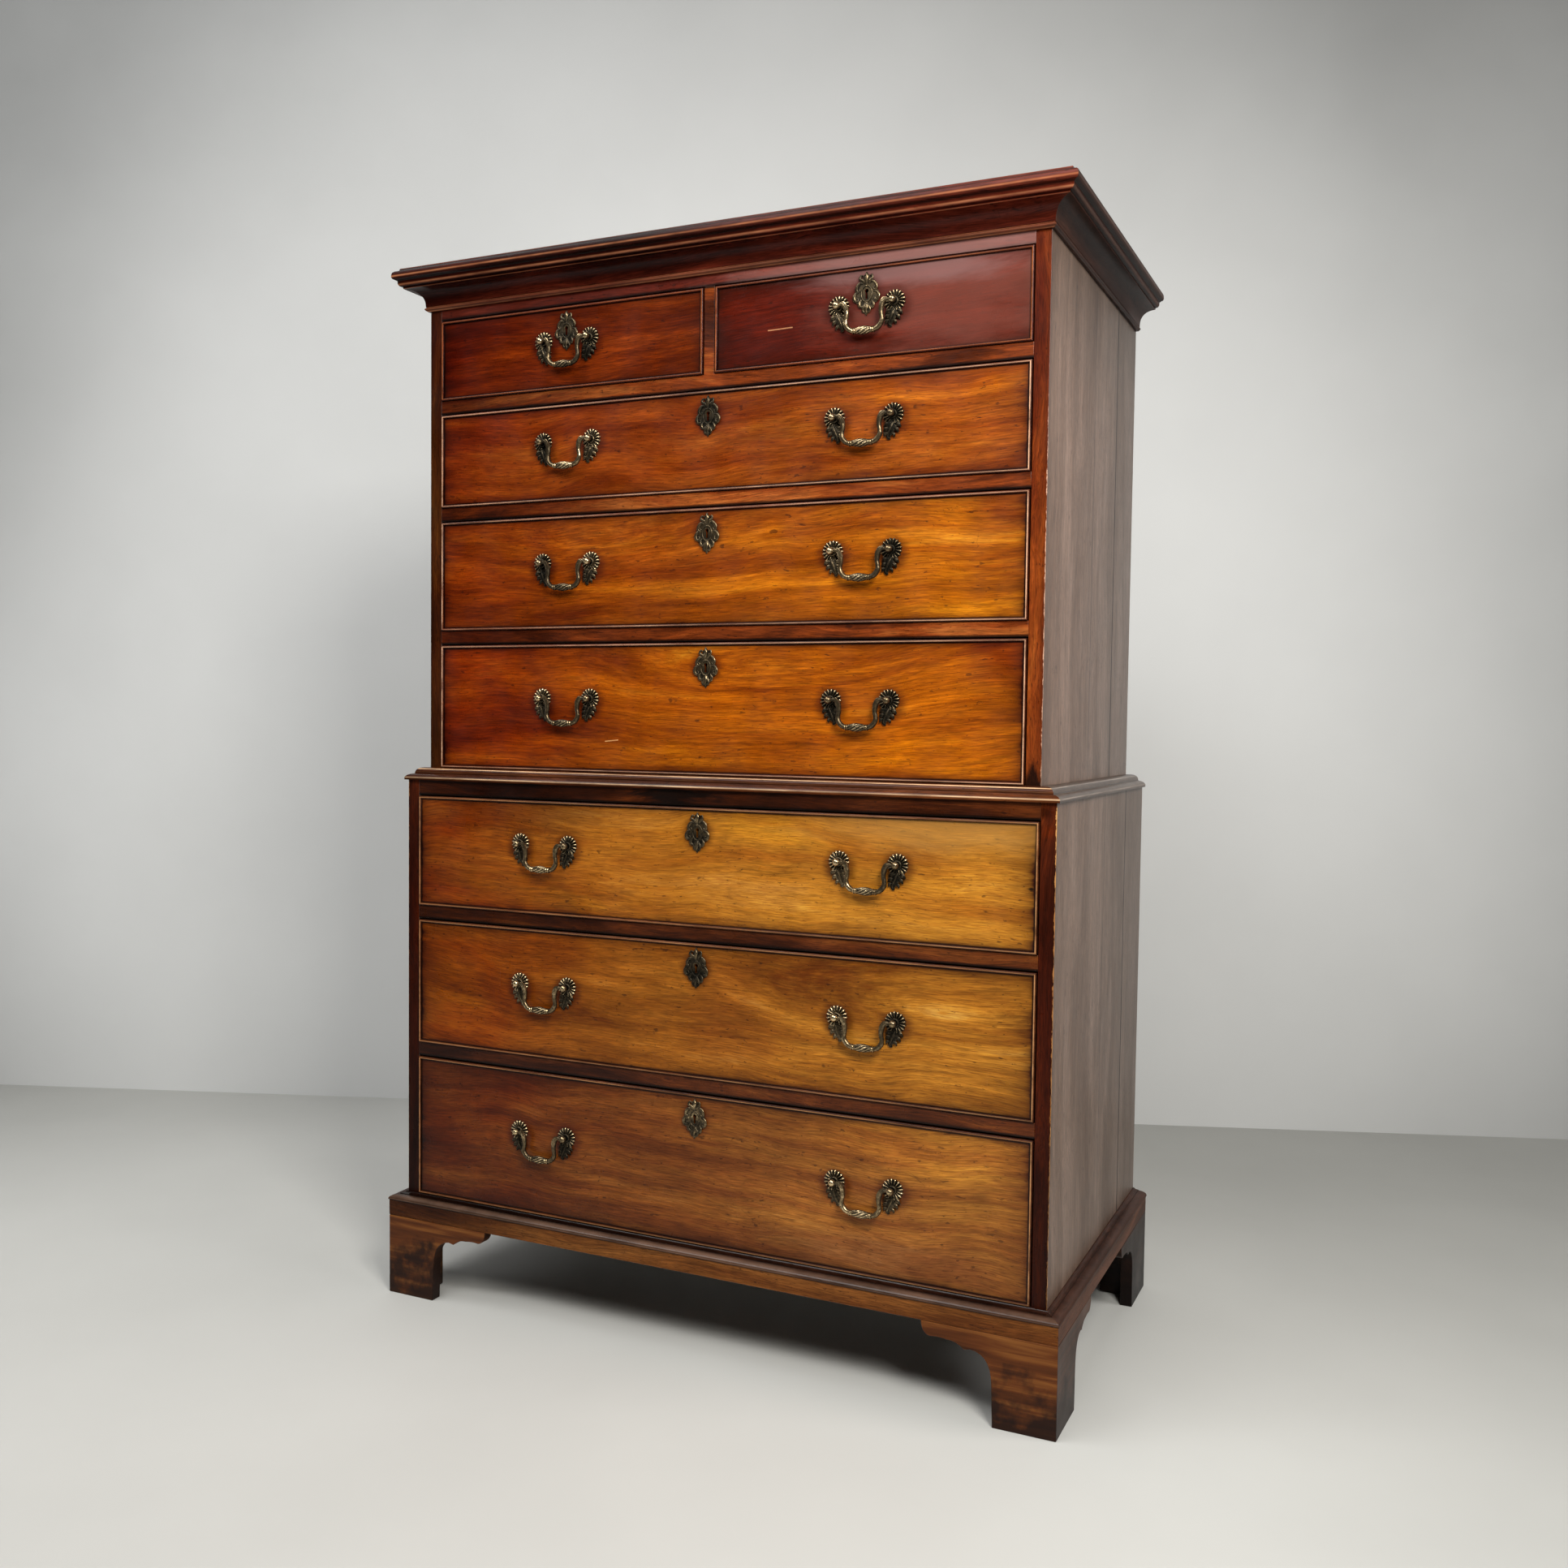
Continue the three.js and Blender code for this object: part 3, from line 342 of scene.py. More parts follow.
        # Painted shade, with a darker finish as well: the surface darkens unevenly towards its left end
        amount, tint, start = painted_left_shade
        leftward = add("MapRange", [apart["X"], start, -0.53, 0, amount], interpolation_type="SMOOTHSTEP")
        uneven = add("MapRange", [grain["shade"], 0.3, 0.7, 0.7, 1.15])
        leftward = add("Math", [leftward, uneven], operation="MULTIPLY", use_clamp=True)
        layers.append((leftward, tint, "MULTIPLY"))
    if stain:
        x, z, half_length, half_height = stain
        off_x = add("Math", [off_plane("X", x), half_length], operation="DIVIDE")
        off_z = add("Math", [off_plane("Z", z), half_height], operation="DIVIDE")
        off = add("Math", [off_x, off_z], operation="ADD")
        off = add("Math", [off, add("Math", [grain["spill"], 2.2], operation="MULTIPLY")], operation="ADD")
        layers.append((add("MapRange", [off, 1.5, 2.1, 0.92, 0]), "#0c0604", "MIX"))
    for height in painted_gap_shadows:
        # Painted shadow: the bottom few millimetres of a rail go black, deepening the gap above a drawer
        line = add("MapRange", [off_plane("Z", height), 0.002, 0.0048, 0.92, 0])
        layers.append((line, "#0b0402", "MIX"))
    for depth, darkness in seams:
        # An open glue line in the side, 3 to 6 mm wide with its worn lips
        line = add("MapRange", [off_plane("Y", depth), 0.0016, 0.003, darkness, 0])
        layers.append((line, "#140b08", "MIX"))
    for axis, start, end, tint in fades:
        layers.append((add("MapRange", [apart[axis], start, end]), tint, "MULTIPLY"))
    for x, z, half_length, tilt in scores:
        # A pale scratch, a millimetre or two wide
        along = add("Mapping", {"Vector": place, "Location": (-x, 0, -z)})
        along = add("Mapping", {"Vector": along, "Rotation": (0, tilt, 0)})
        along = add("SeparateXYZ", [along]).outputs
        past = add("Math", [along["X"]], operation="ABSOLUTE")
        past = add("Math", [past, half_length], operation="SUBTRACT")
        past = add("Math", [past, 0], operation="MAXIMUM")
        off = add("Math", [add("Math", [along["Z"]], operation="ABSOLUTE"), past], operation="ADD")
        faint = add("Math", [grain["lines"], 0.3], operation="ADD")
        scored = add("MapRange", [off, 0.0004, 0.0012, 0.75, 0])
        scored = add("Math", [scored, faint], operation="MULTIPLY", use_clamp=True)
        layers.append((scored, "#e0a070", "MIX"))
    ragged = add("Math", [grain["ragged"], 0.5], operation="SUBTRACT")
    ragged = add("Math", [ragged, 1.6], operation="MULTIPLY")
    for mode, rows in (("OVERLAY", places), ("MIX", painted_sheens)):
        # Soft places with ragged edges in another tone, and milky ones: on the drawer fronts and the frieze,
        # painted sheen and reflection on the polish
        for x, z, half_x, half_z, tint, amount in rows:
            off = add("Mapping", {"Vector": place, "Location": (-x / half_x, 0, -z / half_z),
                                  "Scale": (1 / half_x, 0, 1 / half_z)})
            off = add("Math", [add("VectorMath", [off], operation="LENGTH"), ragged], operation="ADD")
            soft = add("MapRange", [off, 0.3, 1.3, amount, 0], interpolation_type="SMOOTHSTEP")
            layers.append((soft, tint, mode))
    for x, y, z, radius in fittings:
        # A darker ring, 16 mm wide, round a casting
        off = add("VectorMath", [place, (x, y, z)], operation="DISTANCE")
        ring = add("MapRange", [off, radius, radius + 16 * MM, 0.62, 0], interpolation_type="SMOOTHSTEP")
        layers.append((ring, "#3a0e06", "MIX"))
    if highlight_and_wear:
        # Painted light from the wear attribute: a painted highlight on the noses, partly real wear, and
        # painted shade in the hollows where it falls below zero
        light_and_wear = add("Attribute", attribute_name="wear").outputs["Fac"]
        hollow_shade = add("Math", [light_and_wear, -1], operation="MULTIPLY", use_clamp=True)
        patchy = add("MapRange", [grain["nose_breakup"], 0.35, 0.62, 0.25])
        light_and_wear = add("Math", [light_and_wear, patchy], operation="MULTIPLY", use_clamp=True)
        layers += [(light_and_wear, highlight_and_wear, "MIX"), (hollow_shade, "#0d0604", "MIX")]
    for share, colour, mode in layers:
        wood = add("Mix", {0: share, 6: wood, 7: colour}, data_type="RGBA", blend_type=mode)

    # The polish is rougher in patches of 50 mm, and lies in low ripples over the open grain
    sheen = add("TexNoise", {"Vector": place, "Scale": 18, "Detail": 4})
    sheen = add("MapRange", [sheen, 0.3, 0.7, polish - 0.5 * ripples, polish + 0.9 * ripples])
    ripple = add("TexNoise", {"Vector": place, "Scale": 8, "Detail": 2})
    ripple = add("Bump", {"Height": ripple, "Strength": ripples, "Distance": 0.004})
    open_grain = add("Math", [grain["lines"], pores], operation="SUBTRACT")
    open_grain = add("Bump", {"Height": open_grain, "Strength": 0.12, "Distance": 0.0004,
                              "Normal": ripple})
    finish = add("BsdfPrincipled", {"Base Color": wood, "Roughness": sheen, "Normal": open_grain,
                                    "IOR": 1.5, "Specular IOR Level": gloss})
    add("OutputMaterial", [finish])
    return material


def new_piece(bm, name, material, body, smooth_angle=35, eased=()):
    """A finished piece at the origin, smooth except over its sharper edges. eased are the faces of
    its taken-off arrises: they are smooth among themselves and leave the flats beside them flat."""
    bm.normal_update()
    eased = set(eased)
    for face in bm.faces:
        face.smooth = True
    for edge in bm.edges:
        edge.smooth = len(edge.link_faces) == 2 and edge.calc_face_angle(0) < math.radians(smooth_angle)
        if edge.smooth and (edge.link_faces[0] in eased) != (edge.link_faces[1] in eased):
            edge.smooth = False
    mesh = bpy.data.meshes.new(name)
    bm.to_mesh(mesh)
    bm.free()
    mesh.materials.append(material)
    made = bpy.data.objects.new(name, mesh)
    scene.collection.objects.link(made)
    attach(made, body)
    return made


def ease(bm, arrises, width):
    """Takes arrises off as a plane would, and returns their new faces."""
    eased = bmesh.ops.bevel(bm, geom=arrises, offset=width, offset_type="OFFSET", segments=3,
                            profile=0.5, affect="EDGES", material=-1, clamp_overlap=True)["faces"]
    flats = set(bm.faces) - set(eased)
    bmesh.ops.triangulate(bm, faces=[face for face in flats if len(face.verts) > 4])
    bm.normal_update()
    return eased


def eased_copy(node, name, material, body, face_wood=None, easing=0.8 * MM):
    """The board itself, merged into one skin, with every arris taken off. Its front edge may have
    another wood, where a strip faces it."""
    bm = bmesh.new()
    bm.from_mesh(frame["nodes"][node].data)
    bmesh.ops.remove_doubles(bm, verts=bm.verts, dist=0.00001)
    bmesh.ops.dissolve_limit(bm, angle_limit=math.radians(1), verts=bm.verts, edges=bm.edges)
    corners = [edge for edge in bm.edges if len(edge.link_faces) == 2
               and edge.calc_face_angle(0) > math.radians(40)
               and all(abs(vert.co.y - SIDE_SEAMS[0][0]) > 3 * MM for vert in edge.verts)]
    eased = ease(bm, corners, easing)
    front = min(vert.co.y for vert in bm.verts)
    for face in bm.faces:
        if face_wood and face.normal.y < -0.5 and face.calc_center_median().y < front + 5 * MM:
            face.material_index = 1
    made = new_piece(bm, name, material, body, eased=eased)
    if face_wood:
        made.data.materials.append(face_wood)
    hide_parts(node)


LOWER_HALF, UPPER_HALF = 0.560, 0.531
LOWER_FACE, UPPER_FACE, BACK = -0.284, -0.262, 0.308
SIDE_SEAMS = ((0.1705, 0.95), (0.016, 0.45))
LOWER_ARRIS = (LOWER_HALF, LOWER_FACE, 2.8 * MM, "#c08c50")
UPPER_ARRIS = (UPPER_HALF, UPPER_FACE, 2.1 * MM, "#cba085")
LEFT_SHADE = (0.85, "#6e4c38", 0.1)
# The heights of the rails' bottom edges, which take a painted shadow
shadowed_rail_edges = {case: [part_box(node)[0].z for node in frame["nodes"]
                      if node.startswith(case + "_divider") or node == case + "_top"]
               for case in ("lower", "upper")}
faded = dict(vertical=True, streak=0.3, polish=0.38, mottling=0.12, gloss=0.4, ripples=0.02,
             seams=SIDE_SEAMS)
lower_woods = {
    "side": polished_mahogany(
        "faded_side_mahogany_lower", ("#563f31", "#685244", "#786153", "#887265"), 2.0,
        arris=LOWER_ARRIS, fades=[("Y", -0.28, 0.3, "#dbe5ec")], **faded),
    "stile": polished_mahogany(
        "dark_stile_mahogany", ("#2c1006", "#52200d", "#763212", "#9c5626"), 12.4, vertical=True,
        streak=1.2, spread=1.25, gloss=0.1, arris=LOWER_ARRIS, painted_left_shade=(0.6, "#6e4c38", 0.1),
        fades=[("Z", 0.85, 0.70, "#c8b4b0"), ("Z", 0.60, 0.34, "#a2a49c")],
        places=[(0.541, 0.869, 0.016, 0.013, "#4c4c50", 0.85),
                (0.549, 0.842, 0.012, 0.012, "#dccaa0", 0.8)]),
    "rail": polished_mahogany(
        "dark_rail_mahogany", ("#1c0a04", "#381708", "#58290e", "#82481c"), 3.1, streak=0.8,
        spread=1.3, gloss=0.2, painted_left_shade=LEFT_SHADE, painted_gap_shadows=shadowed_rail_edges["lower"],
        stain=(-0.045, 0.872, 0.11, 0.03)),
}
upper_woods = {
    "side": polished_mahogany(
        "faded_side_mahogany_upper", ("#5a4031", "#6f5647", "#806657", "#937869"), 5.5,
        # The second fade, darker towards the top under the cornice, is painted shade
        arris=UPPER_ARRIS, fades=[("Y", -0.28, 0.3, "#d3e1ec"), ("Z", 1.48, 1.66, "#c6c3bd")],
        **faded),
    "stile": polished_mahogany(
        "red_stile_mahogany", ("#3c0f05", "#6b290c", "#924416", "#bc6e2e"), 15.4, vertical=True,
        streak=1.2, gloss=0.15, arris=UPPER_ARRIS, painted_left_shade=(0.85, "#47706c", 0.1),
        fades=[("Z", 1.3, 1.62, "#c8b1c8")], stain=(0.518, 0.90, 0.025, 0.05)),
    "top": polished_mahogany(
        "frieze_mahogany", ("#34100a", "#561c12", "#78301f", "#96503c"), 19.6, streak=0.7,
        gloss=0.25, painted_left_shade=LEFT_SHADE, painted_gap_shadows=shadowed_rail_edges["upper"],
        # A milky painted reflection across the right of the frieze
        painted_sheens=[(0.34, 1.66, 0.3, 0.05, "#8e6660", 0.7)]),
    "rail": polished_mahogany(
        "red_rail_mahogany", ("#2a0c04", "#502009", "#803812", "#b0642c"), 8.1, spread=1.5,
        gloss=0.25, painted_left_shade=LEFT_SHADE, painted_gap_shadows=shadowed_rail_edges["upper"]),
}
for case, woods, dividers in (("lower", lower_woods, 2), ("upper", upper_woods, 3)):
    body = case + "_case"
    for hand in ("left", "right"):
        eased_copy(f"{case}_side_{hand}", f"{case}_side_{hand}_panel", woods["side"], body,
                   woods["stile"])
    eased_copy(f"{case}_top", f"{case}_top_board", woods.get("top", woods["rail"]), body)
    for number in range(1, dividers + 1):
        eased_copy(f"{case}_divider_{number}", f"{case}_divider_{number}_rail", woods["rail"], body)


# Bottoms and linings are of oak, and backs of pine: left bare, dry and browned, with dirt along
# the joints. The lower case's bottom is painted near black, painted shade that keeps the floor
# under the case dark. A strip of mahogany faces the upper case's bottom in front.
def bare_timber(name, tones, repeats, roughness):
    """Bare quarter-sawn boards: matt, with straight lines of open grain and grey dirt. repeats are
    the grain's in a metre along each axis."""
    material, add = new_material(name)
    place = add("TexCoord").outputs["Object"]
    rings = add("TexNoise", {"Vector": add("Mapping", {"Vector": place, "Scale": repeats}), "Scale": 1,
                             "Detail": 5, "Roughness": 0.6, "Distortion": 0.4})
    wood = add("ValToRGB", [rings], list(zip((0.3, 0.5, 0.7), tones)))
    dirt = add("TexNoise", {"Vector": place, "Scale": 5, "Detail": 5})
    dirt = add("ValToRGB", [dirt], [(0.35, 0.3), (0.6, 0.55)])
    wood = add("Mix", {0: 0.5, 6: wood, 7: dirt}, data_type="RGBA", blend_type="OVERLAY")
    bump = add("Bump", {"Height": rings, "Strength": 0.25, "Distance": 0.0006})
    add("OutputMaterial", [add("BsdfPrincipled", {
        "Base Color": wood, "Roughness": roughness, "Normal": bump, "Specular IOR Level": 0.3})])
    return material


def timbered(node, *timbers):
    """Gives the CAD's own solid its timbers, and returns its mesh."""
    mesh = frame["nodes"][node].data
    mesh.materials.clear()
    for timber in timbers:
        mesh.materials.append(timber)
    return mesh


bare_oak = bare_timber("bare_oak", ("#5f4326", "#8a6a42", "#a5855a"), (160, 3, 160), 0.7)
shade_darkened_oak = bare_timber("shade_darkened_oak", ("#1f1710", "#33271b", "#4a3a28"), (160, 3, 160), 0.8)
bare_pine = bare_timber("bare_pine", ("#4a301c", "#6f4d2e", "#8a6742"), (70, 70, 1.5), 0.8)
timbered("lower_bottom", shade_darkened_oak)
timbered("lower_back", bare_pine)
timbered("upper_back", bare_pine)
faced = timbered("upper_bottom", bare_oak, upper_woods["rail"])
for polygon in faced.polygons:
    polygon.material_index = int(polygon.normal.y < -0.9)


# Mouldings: the base with its plinth strip, the waist, and the cornice, each planed from one
# length of mahogany, mitred at the front corners and glued and pinned to the case. In front a
# painted highlight, partly real wear, lies pale on the noses, and painted shade darkens the
# hollows; the side runs take darker, dull copies of the finish, greyer on the waist: painted shade.
def newest(grown, kind):
    """The vertices, edges or faces that an extrusion made."""
    return [item for item in grown["geom"] if isinstance(item, kind)]


def wrapped_moulding(node, section, half, face, foot, woods, tuck=0.0, strip=0.0):
    """Runs a section from the back along the right side, the front and the left side, mitred at
    both corners. woods are those of the front and the side runs, then of the front and the sides of
    the flat strip below, whose height is strip. tuck is how much further in the side runs reach
    under the case above."""
    bm = bmesh.new()
    wear, out, rise = [bm.verts.layers.float.new(name) for name in ("wear", "out", "rise")]
    deepest = min(point[0] for point in section)

    def lay(verts, x, y, turn_x, turn_y):
        for vert in verts:
            inset = tuck if vert[out] < deepest + 0.1 * MM else 0
            vert.co = (x + turn_x * (vert[out] - inset), y + turn_y * vert[out], foot + vert[rise])

    loop = []
    for outward, upward, light_and_wear in section:
        vert = bm.verts.new((outward, BACK, upward))
        vert[wear], vert[out], vert[rise] = light_and_wear, outward, upward
        loop.append(vert)
    end = bm.faces.new(loop)
    lay(end.verts, half, BACK, 1, 0)
    for x, y, turn_x, turn_y in ((half, face, 1, -1), (-half, face, -1, -1), (-half, BACK, -1, 0)):
        end = newest(bmesh.ops.extrude_face_region(bm, geom=[end]), bmesh.types.BMFace)[0]
        lay(end.verts, x, y, turn_x, turn_y)
    bmesh.ops.recalc_face_normals(bm, faces=bm.faces)
    bmesh.ops.triangulate(bm, faces=[face for face in bm.faces if len(face.verts) > 4])
    for layer in ("out", "rise"):
        bm.verts.layers.float.remove(bm.verts.layers.float[layer])
    body = "upper_case" if node == "cornice" else "lower_case"
    # Faces on the side runs take the darker copy of the wood: painted shade
    for facet in bm.faces:
        middle = facet.calc_center_median()
        on_side = abs(middle.x) - half > face - middle.y
        facet.material_index = int(on_side) + (2 if middle.z < foot + strip else 0)
    made = new_piece(bm, node + "_run", woods[0], body, 28)
    for wood in woods[1:]:
        made.data.materials.append(wood)
    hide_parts(node)


# The pale colours for the noses are painted highlights, partly real wear
planed = dict(streak=0.5, spread=1.2, mottling=0.1, ripples=0.03)
turned_away = dict(mottling=0.0, ripples=0.02)
cornice_wood = polished_mahogany("cornice_mahogany", ("#1c0704", "#3a120a", "#561e11", "#6e2e1d"), 7.7,
                                 polish=0.24, gloss=0.12, highlight_and_wear="#cc845c",
                                 painted_left_shade=(0.7, "#6e4c38", 0.35), **planed)
waist_wood = polished_mahogany("waist_mahogany", ("#2c140a", "#502812", "#6e3c1e", "#8c562e"), 14.7,
                               polish=0.24, gloss=0.18, highlight_and_wear="#e4bc92",
                               painted_left_shade=(0.7, "#6e4c38", 0.35), **planed)
base_wood = polished_mahogany("base_mahogany", ("#0c0503", "#1a0b06", "#29140b", "#3c2112"), 27.7,
                              polish=0.2, gloss=0.24, highlight_and_wear="#a07c66",
                              painted_left_shade=(0.5, "#6e4c38", 0.35), **planed)
# Darker copies of the finish for the side runs, painted shade; the waist's is greyer as well
shaded_return_wood = polished_mahogany("shaded_return_mahogany", ("#1a0e09", "#2b1812", "#3a231a", "#4a2e23"),
                                37.7, streak=0.4, polish=0.35, gloss=0.05, highlight_and_wear="#50382e",
                                **turned_away)
shaded_waist_return_wood = polished_mahogany("greyed_shaded_return_mahogany", ("#3c2e26", "#483930", "#54453a",
                                                                "#605145"),
                                      47.7, streak=0.4, polish=0.35, gloss=0.45, highlight_and_wear="#94857a",
                                      **turned_away)
strip_wood = polished_mahogany("plinth_mahogany", ("#321808", "#5a3011", "#78471d", "#945f2c"), 17.3,
                               streak=0.8, gloss=0.1, painted_left_shade=LEFT_SHADE)
# A darker copy for the plinth strip's sides: painted shade
shaded_strip_return_wood = polished_mahogany("shaded_plinth_mahogany", ("#2a1710", "#412619", "#583626",
                                                               "#6c4733"),
                                      57.3, streak=0.5, polish=0.45, gloss=0.06, **turned_away)


def scaled(section, out_size, rise_size, out_start=0.0, rise_start=0.0):
    """A section drawn in shares of its size, in metres. A row of five is a curve through a handle.
    Each row ends with its wear: above zero a painted highlight, partly real wear, and below zero
    painted shade.
    """
    points = []
    for row in section:
        shares = list(zip(row[:-1:2], row[1:-1:2]))
        places = [(out_start + out * out_size, rise_start + rise * rise_size) for out, rise in shares]
        if len(places) == 1:
            points.append((*places[0], row[-1]))
            continue
        start = points[-1]
        steps = 7
        for step in range(1, steps + 1):
            t = step / steps
            out, rise = [(1 - t) ** 2 * start[axis] + 2 * t * (1 - t) * places[0][axis]
                         + t ** 2 * places[1][axis] for axis in (0, 1)]
            points.append((out, rise, row[-1] * math.sin(math.pi * t)))
    return points


# Each row's last number: above zero a painted highlight on a nose, partly real wear; below zero painted
# shade in a hollow
CORNICE_Z, CORNICE_OUT, CORNICE_RISE = 1.6696, 46 * MM, 66 * MM
cornice_section = scaled([
    (0, 0, 0.0), (0.09, 0, 0.8), (0.12, 0.015, 0.2), (0.21, 0.055, 0.12, 0.09, 0.2), (0.11, 0.105, 0.8),
    (0.13, 0.108, -0.3), (0.13, 0.135, -0.1), (0.14, 0.48, 0.63, 0.51, 0.0), (0.70, 0.51, 0.4),
    (0.70, 0.55, -0.7), (0.79, 0.565, 0.0), (0.83, 0.60, 0.7), (0.84, 0.63, 0.0), (0.84, 0.68, -0.4),
    (0.88, 0.70, -0.8), (0.97, 0.725, -0.1), (1.0, 0.76, 0.1), (1.0, 0.79, 0.8), (1.0, 0.82, 0.0),
    (0.98, 0.88, -0.1), (0.91, 0.92, -0.6), (0.80, 0.94, -0.8), (0.78, 1.0, 0.4),
    (0, 1.0, 0.0)], CORNICE_OUT, CORNICE_RISE)
wrapped_moulding("cornice", cornice_section, UPPER_HALF, UPPER_FACE, CORNICE_Z,
                 (cornice_wood, shaded_return_wood))

WAIST_Z, WAIST_RISE, WAIST_OVERHANG = 0.8824, 21 * MM, 5 * MM
WAIST_INNER_FRONT, WAIST_SIDE_TUCK = -21.5 * MM, 7 * MM
waist_section = scaled([
    (0, 0, -0.3), (0, 0.13, 0.1), (0, 0.2, 1.0), (0.1, 0.46, 0.46, 0.5, -0.1), (0.47, 0.55, -0.7),
    (0.48, 0.62, 0.1), (0.5, 0.78, 0.58, 0.85, 0.0), (0.6, 0.87, 1.2), (0.64, 0.91, 0.8),
    (0.74, 0.98, 0.9, 1, 0.0), (1, 1, -0.5), (1, 0, 0.0)],
    WAIST_INNER_FRONT - WAIST_OVERHANG, WAIST_RISE, WAIST_OVERHANG)
wrapped_moulding("waist_moulding", waist_section, LOWER_HALF, LOWER_FACE, WAIST_Z,
                 (waist_wood, shaded_waist_return_wood), WAIST_SIDE_TUCK)

FOOT_HEIGHT, PLINTH_HEIGHT, PLINTH_DROP, BASE_OUT = 134 * MM, 27 * MM, 19 * MM, 24 * MM
PLINTH_FACE, PLINTH_INSET, BASE_MOULDED = 22.5 * MM, -22 * MM, 12 * MM
base_section = [(PLINTH_INSET, 0, 0.0), (PLINTH_FACE - 1 * MM, 0, 0.1), (PLINTH_FACE, 1 * MM, 0.2),
                (PLINTH_FACE, PLINTH_HEIGHT, 0.0)]
base_section += scaled([
    (1, 0.04, -0.3), (1, 0.16, 0.4), (0.94, 0.62, 0.42, 0.68, 0.35), (0.4, 0.76, -0.6),
    (0.14, 0.78, 0.08, 1, 0.0), (0, 1, 0.0)], BASE_OUT, BASE_MOULDED, 0, PLINTH_HEIGHT)
base_section += [(0, PLINTH_DROP, 0.0), (PLINTH_INSET, PLINTH_DROP, 0.0)]
wrapped_moulding("base_moulding", base_section, LOWER_HALF, LOWER_FACE, FOOT_HEIGHT,
                 (base_wood, shaded_return_wood, strip_wood, shaded_strip_return_wood), strip=PLINTH_HEIGHT - 1 * MM)


# Bracket feet: two shaped brackets mitred at the corner and glued under the plinth strip, with
# rough blocks behind. The back feet have a shaped bracket at the side only. Golden brown in
# front, with nearly black patches low down where the polish has worn; the sides and the back
# feet take a darker copy of the finish, painted shade.
def foot_finish(name, tones, seed):
    """Worn polish on mahogany: satin, cloudy, blackened towards the floor, and darkened towards the back by
    painted shade.
    """
    material, add = new_material(name)
    place = add("TexCoord").outputs["Object"]
    apart = add("SeparateXYZ", [place]).outputs
    grain = add("Mapping", {"Vector": place, "Location": (seed, 0, seed), "Scale": (6, 6, 95)})
    grain = add("TexNoise", {"Vector": grain, "Scale": 1, "Detail": 5, "Distortion": 0.5})
    wood = add("ValToRGB", [grain], list(zip((0.3, 0.5, 0.72), tones)))
    patches = add("TexNoise", {"Vector": place, "Scale": 17, "Detail": 4, "Roughness": 0.6})
    low = add("MapRange", [apart["Z"], 0, 0.12, 0.34, -0.08])
    grime = add("MapRange", [add("Math", [patches, low], operation="ADD"), 0.56, 0.72, 0, 0.9])
    wood = add("Mix", {0: grime, 6: wood, 7: "#1c0e09"}, data_type="RGBA")
    # Painted shade: darker towards the back
    rear_shade = add("MapRange", [apart["Y"], -0.1, 0.15])
    wood = add("Mix", {0: rear_shade, 6: wood, 7: "#98908e"}, data_type="RGBA", blend_type="MULTIPLY")
    rough = add("MapRange", [patches, 0, 1, 0.3, 0.55])
    bump = add("Bump", {"Height": grain, "Strength": 0.15, "Distance": 0.0006})
    add("OutputMaterial", [add("BsdfPrincipled", {
        "Base Color": wood, "Roughness": rough, "Normal": bump, "Specular IOR Level": 0.15})])
    return material


foot_wood = foot_finish("worn_foot_mahogany", ("#381b09", "#5b2f11", "#825023"), 1.3)
shaded_foot_wood = foot_finish("shaded_foot_mahogany", ("#22130c", "#382116", "#503222"), 5.3)
block_wood = foot_finish("glue_block_pine", ("#3a2413", "#5a3a1e", "#7a5430"), 4.2)
BRACKET_LENGTH, BRACKET_THICKNESS, BLOCK, BLOCK_GAP = 200 * MM, 20 * MM, 44 * MM, 3 * MM
FRONT_LEG, SIDE_LEG, REAR_LENGTH, CLEAT = 92 * MM, 104 * MM, 150 * MM, 18 * MM
FOOT_X, FOOT_Y = LOWER_HALF + PLINTH_FACE, LOWER_FACE - PLINTH_FACE


def bracket_outline(leg):
    """(inward, upward) points: leg, arch, cusp, ogee and rounded tip."""
    reach = BRACKET_LENGTH - leg
    curves = [(0.02, 0.46), (0.03, 0.77, 0.31, 0.785), (0.4, 0.77), (0.5, 0.845, 0.63, 0.842),
              (0.76, 0.86, 0.87, 0.845), (0.99, 0.86, 1, 1)]
    rows = [(0, 0, 0)] + [(*row, 0) for row in curves]
    points = scaled(rows, reach, FOOT_HEIGHT, leg)
    return [(0, 0)] + [(out, rise) for out, rise, _ in points] + [(0, FOOT_HEIGHT)]


def sawn_bracket(bm, outline, corner, inwards, depth):
    """Saws a bracket from a board. inwards and depth point along the face and into the foot."""
    verts = [bm.verts.new(corner + inwards * along + Vector((0, 0, rise))) for along, rise in outline]
    face = bm.faces.new(verts)
    moved = newest(bmesh.ops.extrude_face_region(bm, geom=[face]), bmesh.types.BMVert)
    bmesh.ops.translate(bm, vec=depth, verts=moved)
    return verts + moved


def glue_block(bm, low, high):
    """A block with its edges knocked off, between two corners."""
    made = bmesh.ops.create_cube(bm, size=1)["verts"]
    for vert in made:
        vert.co = [low[axis] if vert.co[axis] < 0 else high[axis] for axis in range(3)]
    edges = list({edge for vert in made for edge in vert.link_edges})
    bmesh.ops.bevel(bm, geom=edges, offset=1.5 * MM, offset_type="OFFSET", segments=2, profile=0.5,
                    affect="EDGES", material=-1)


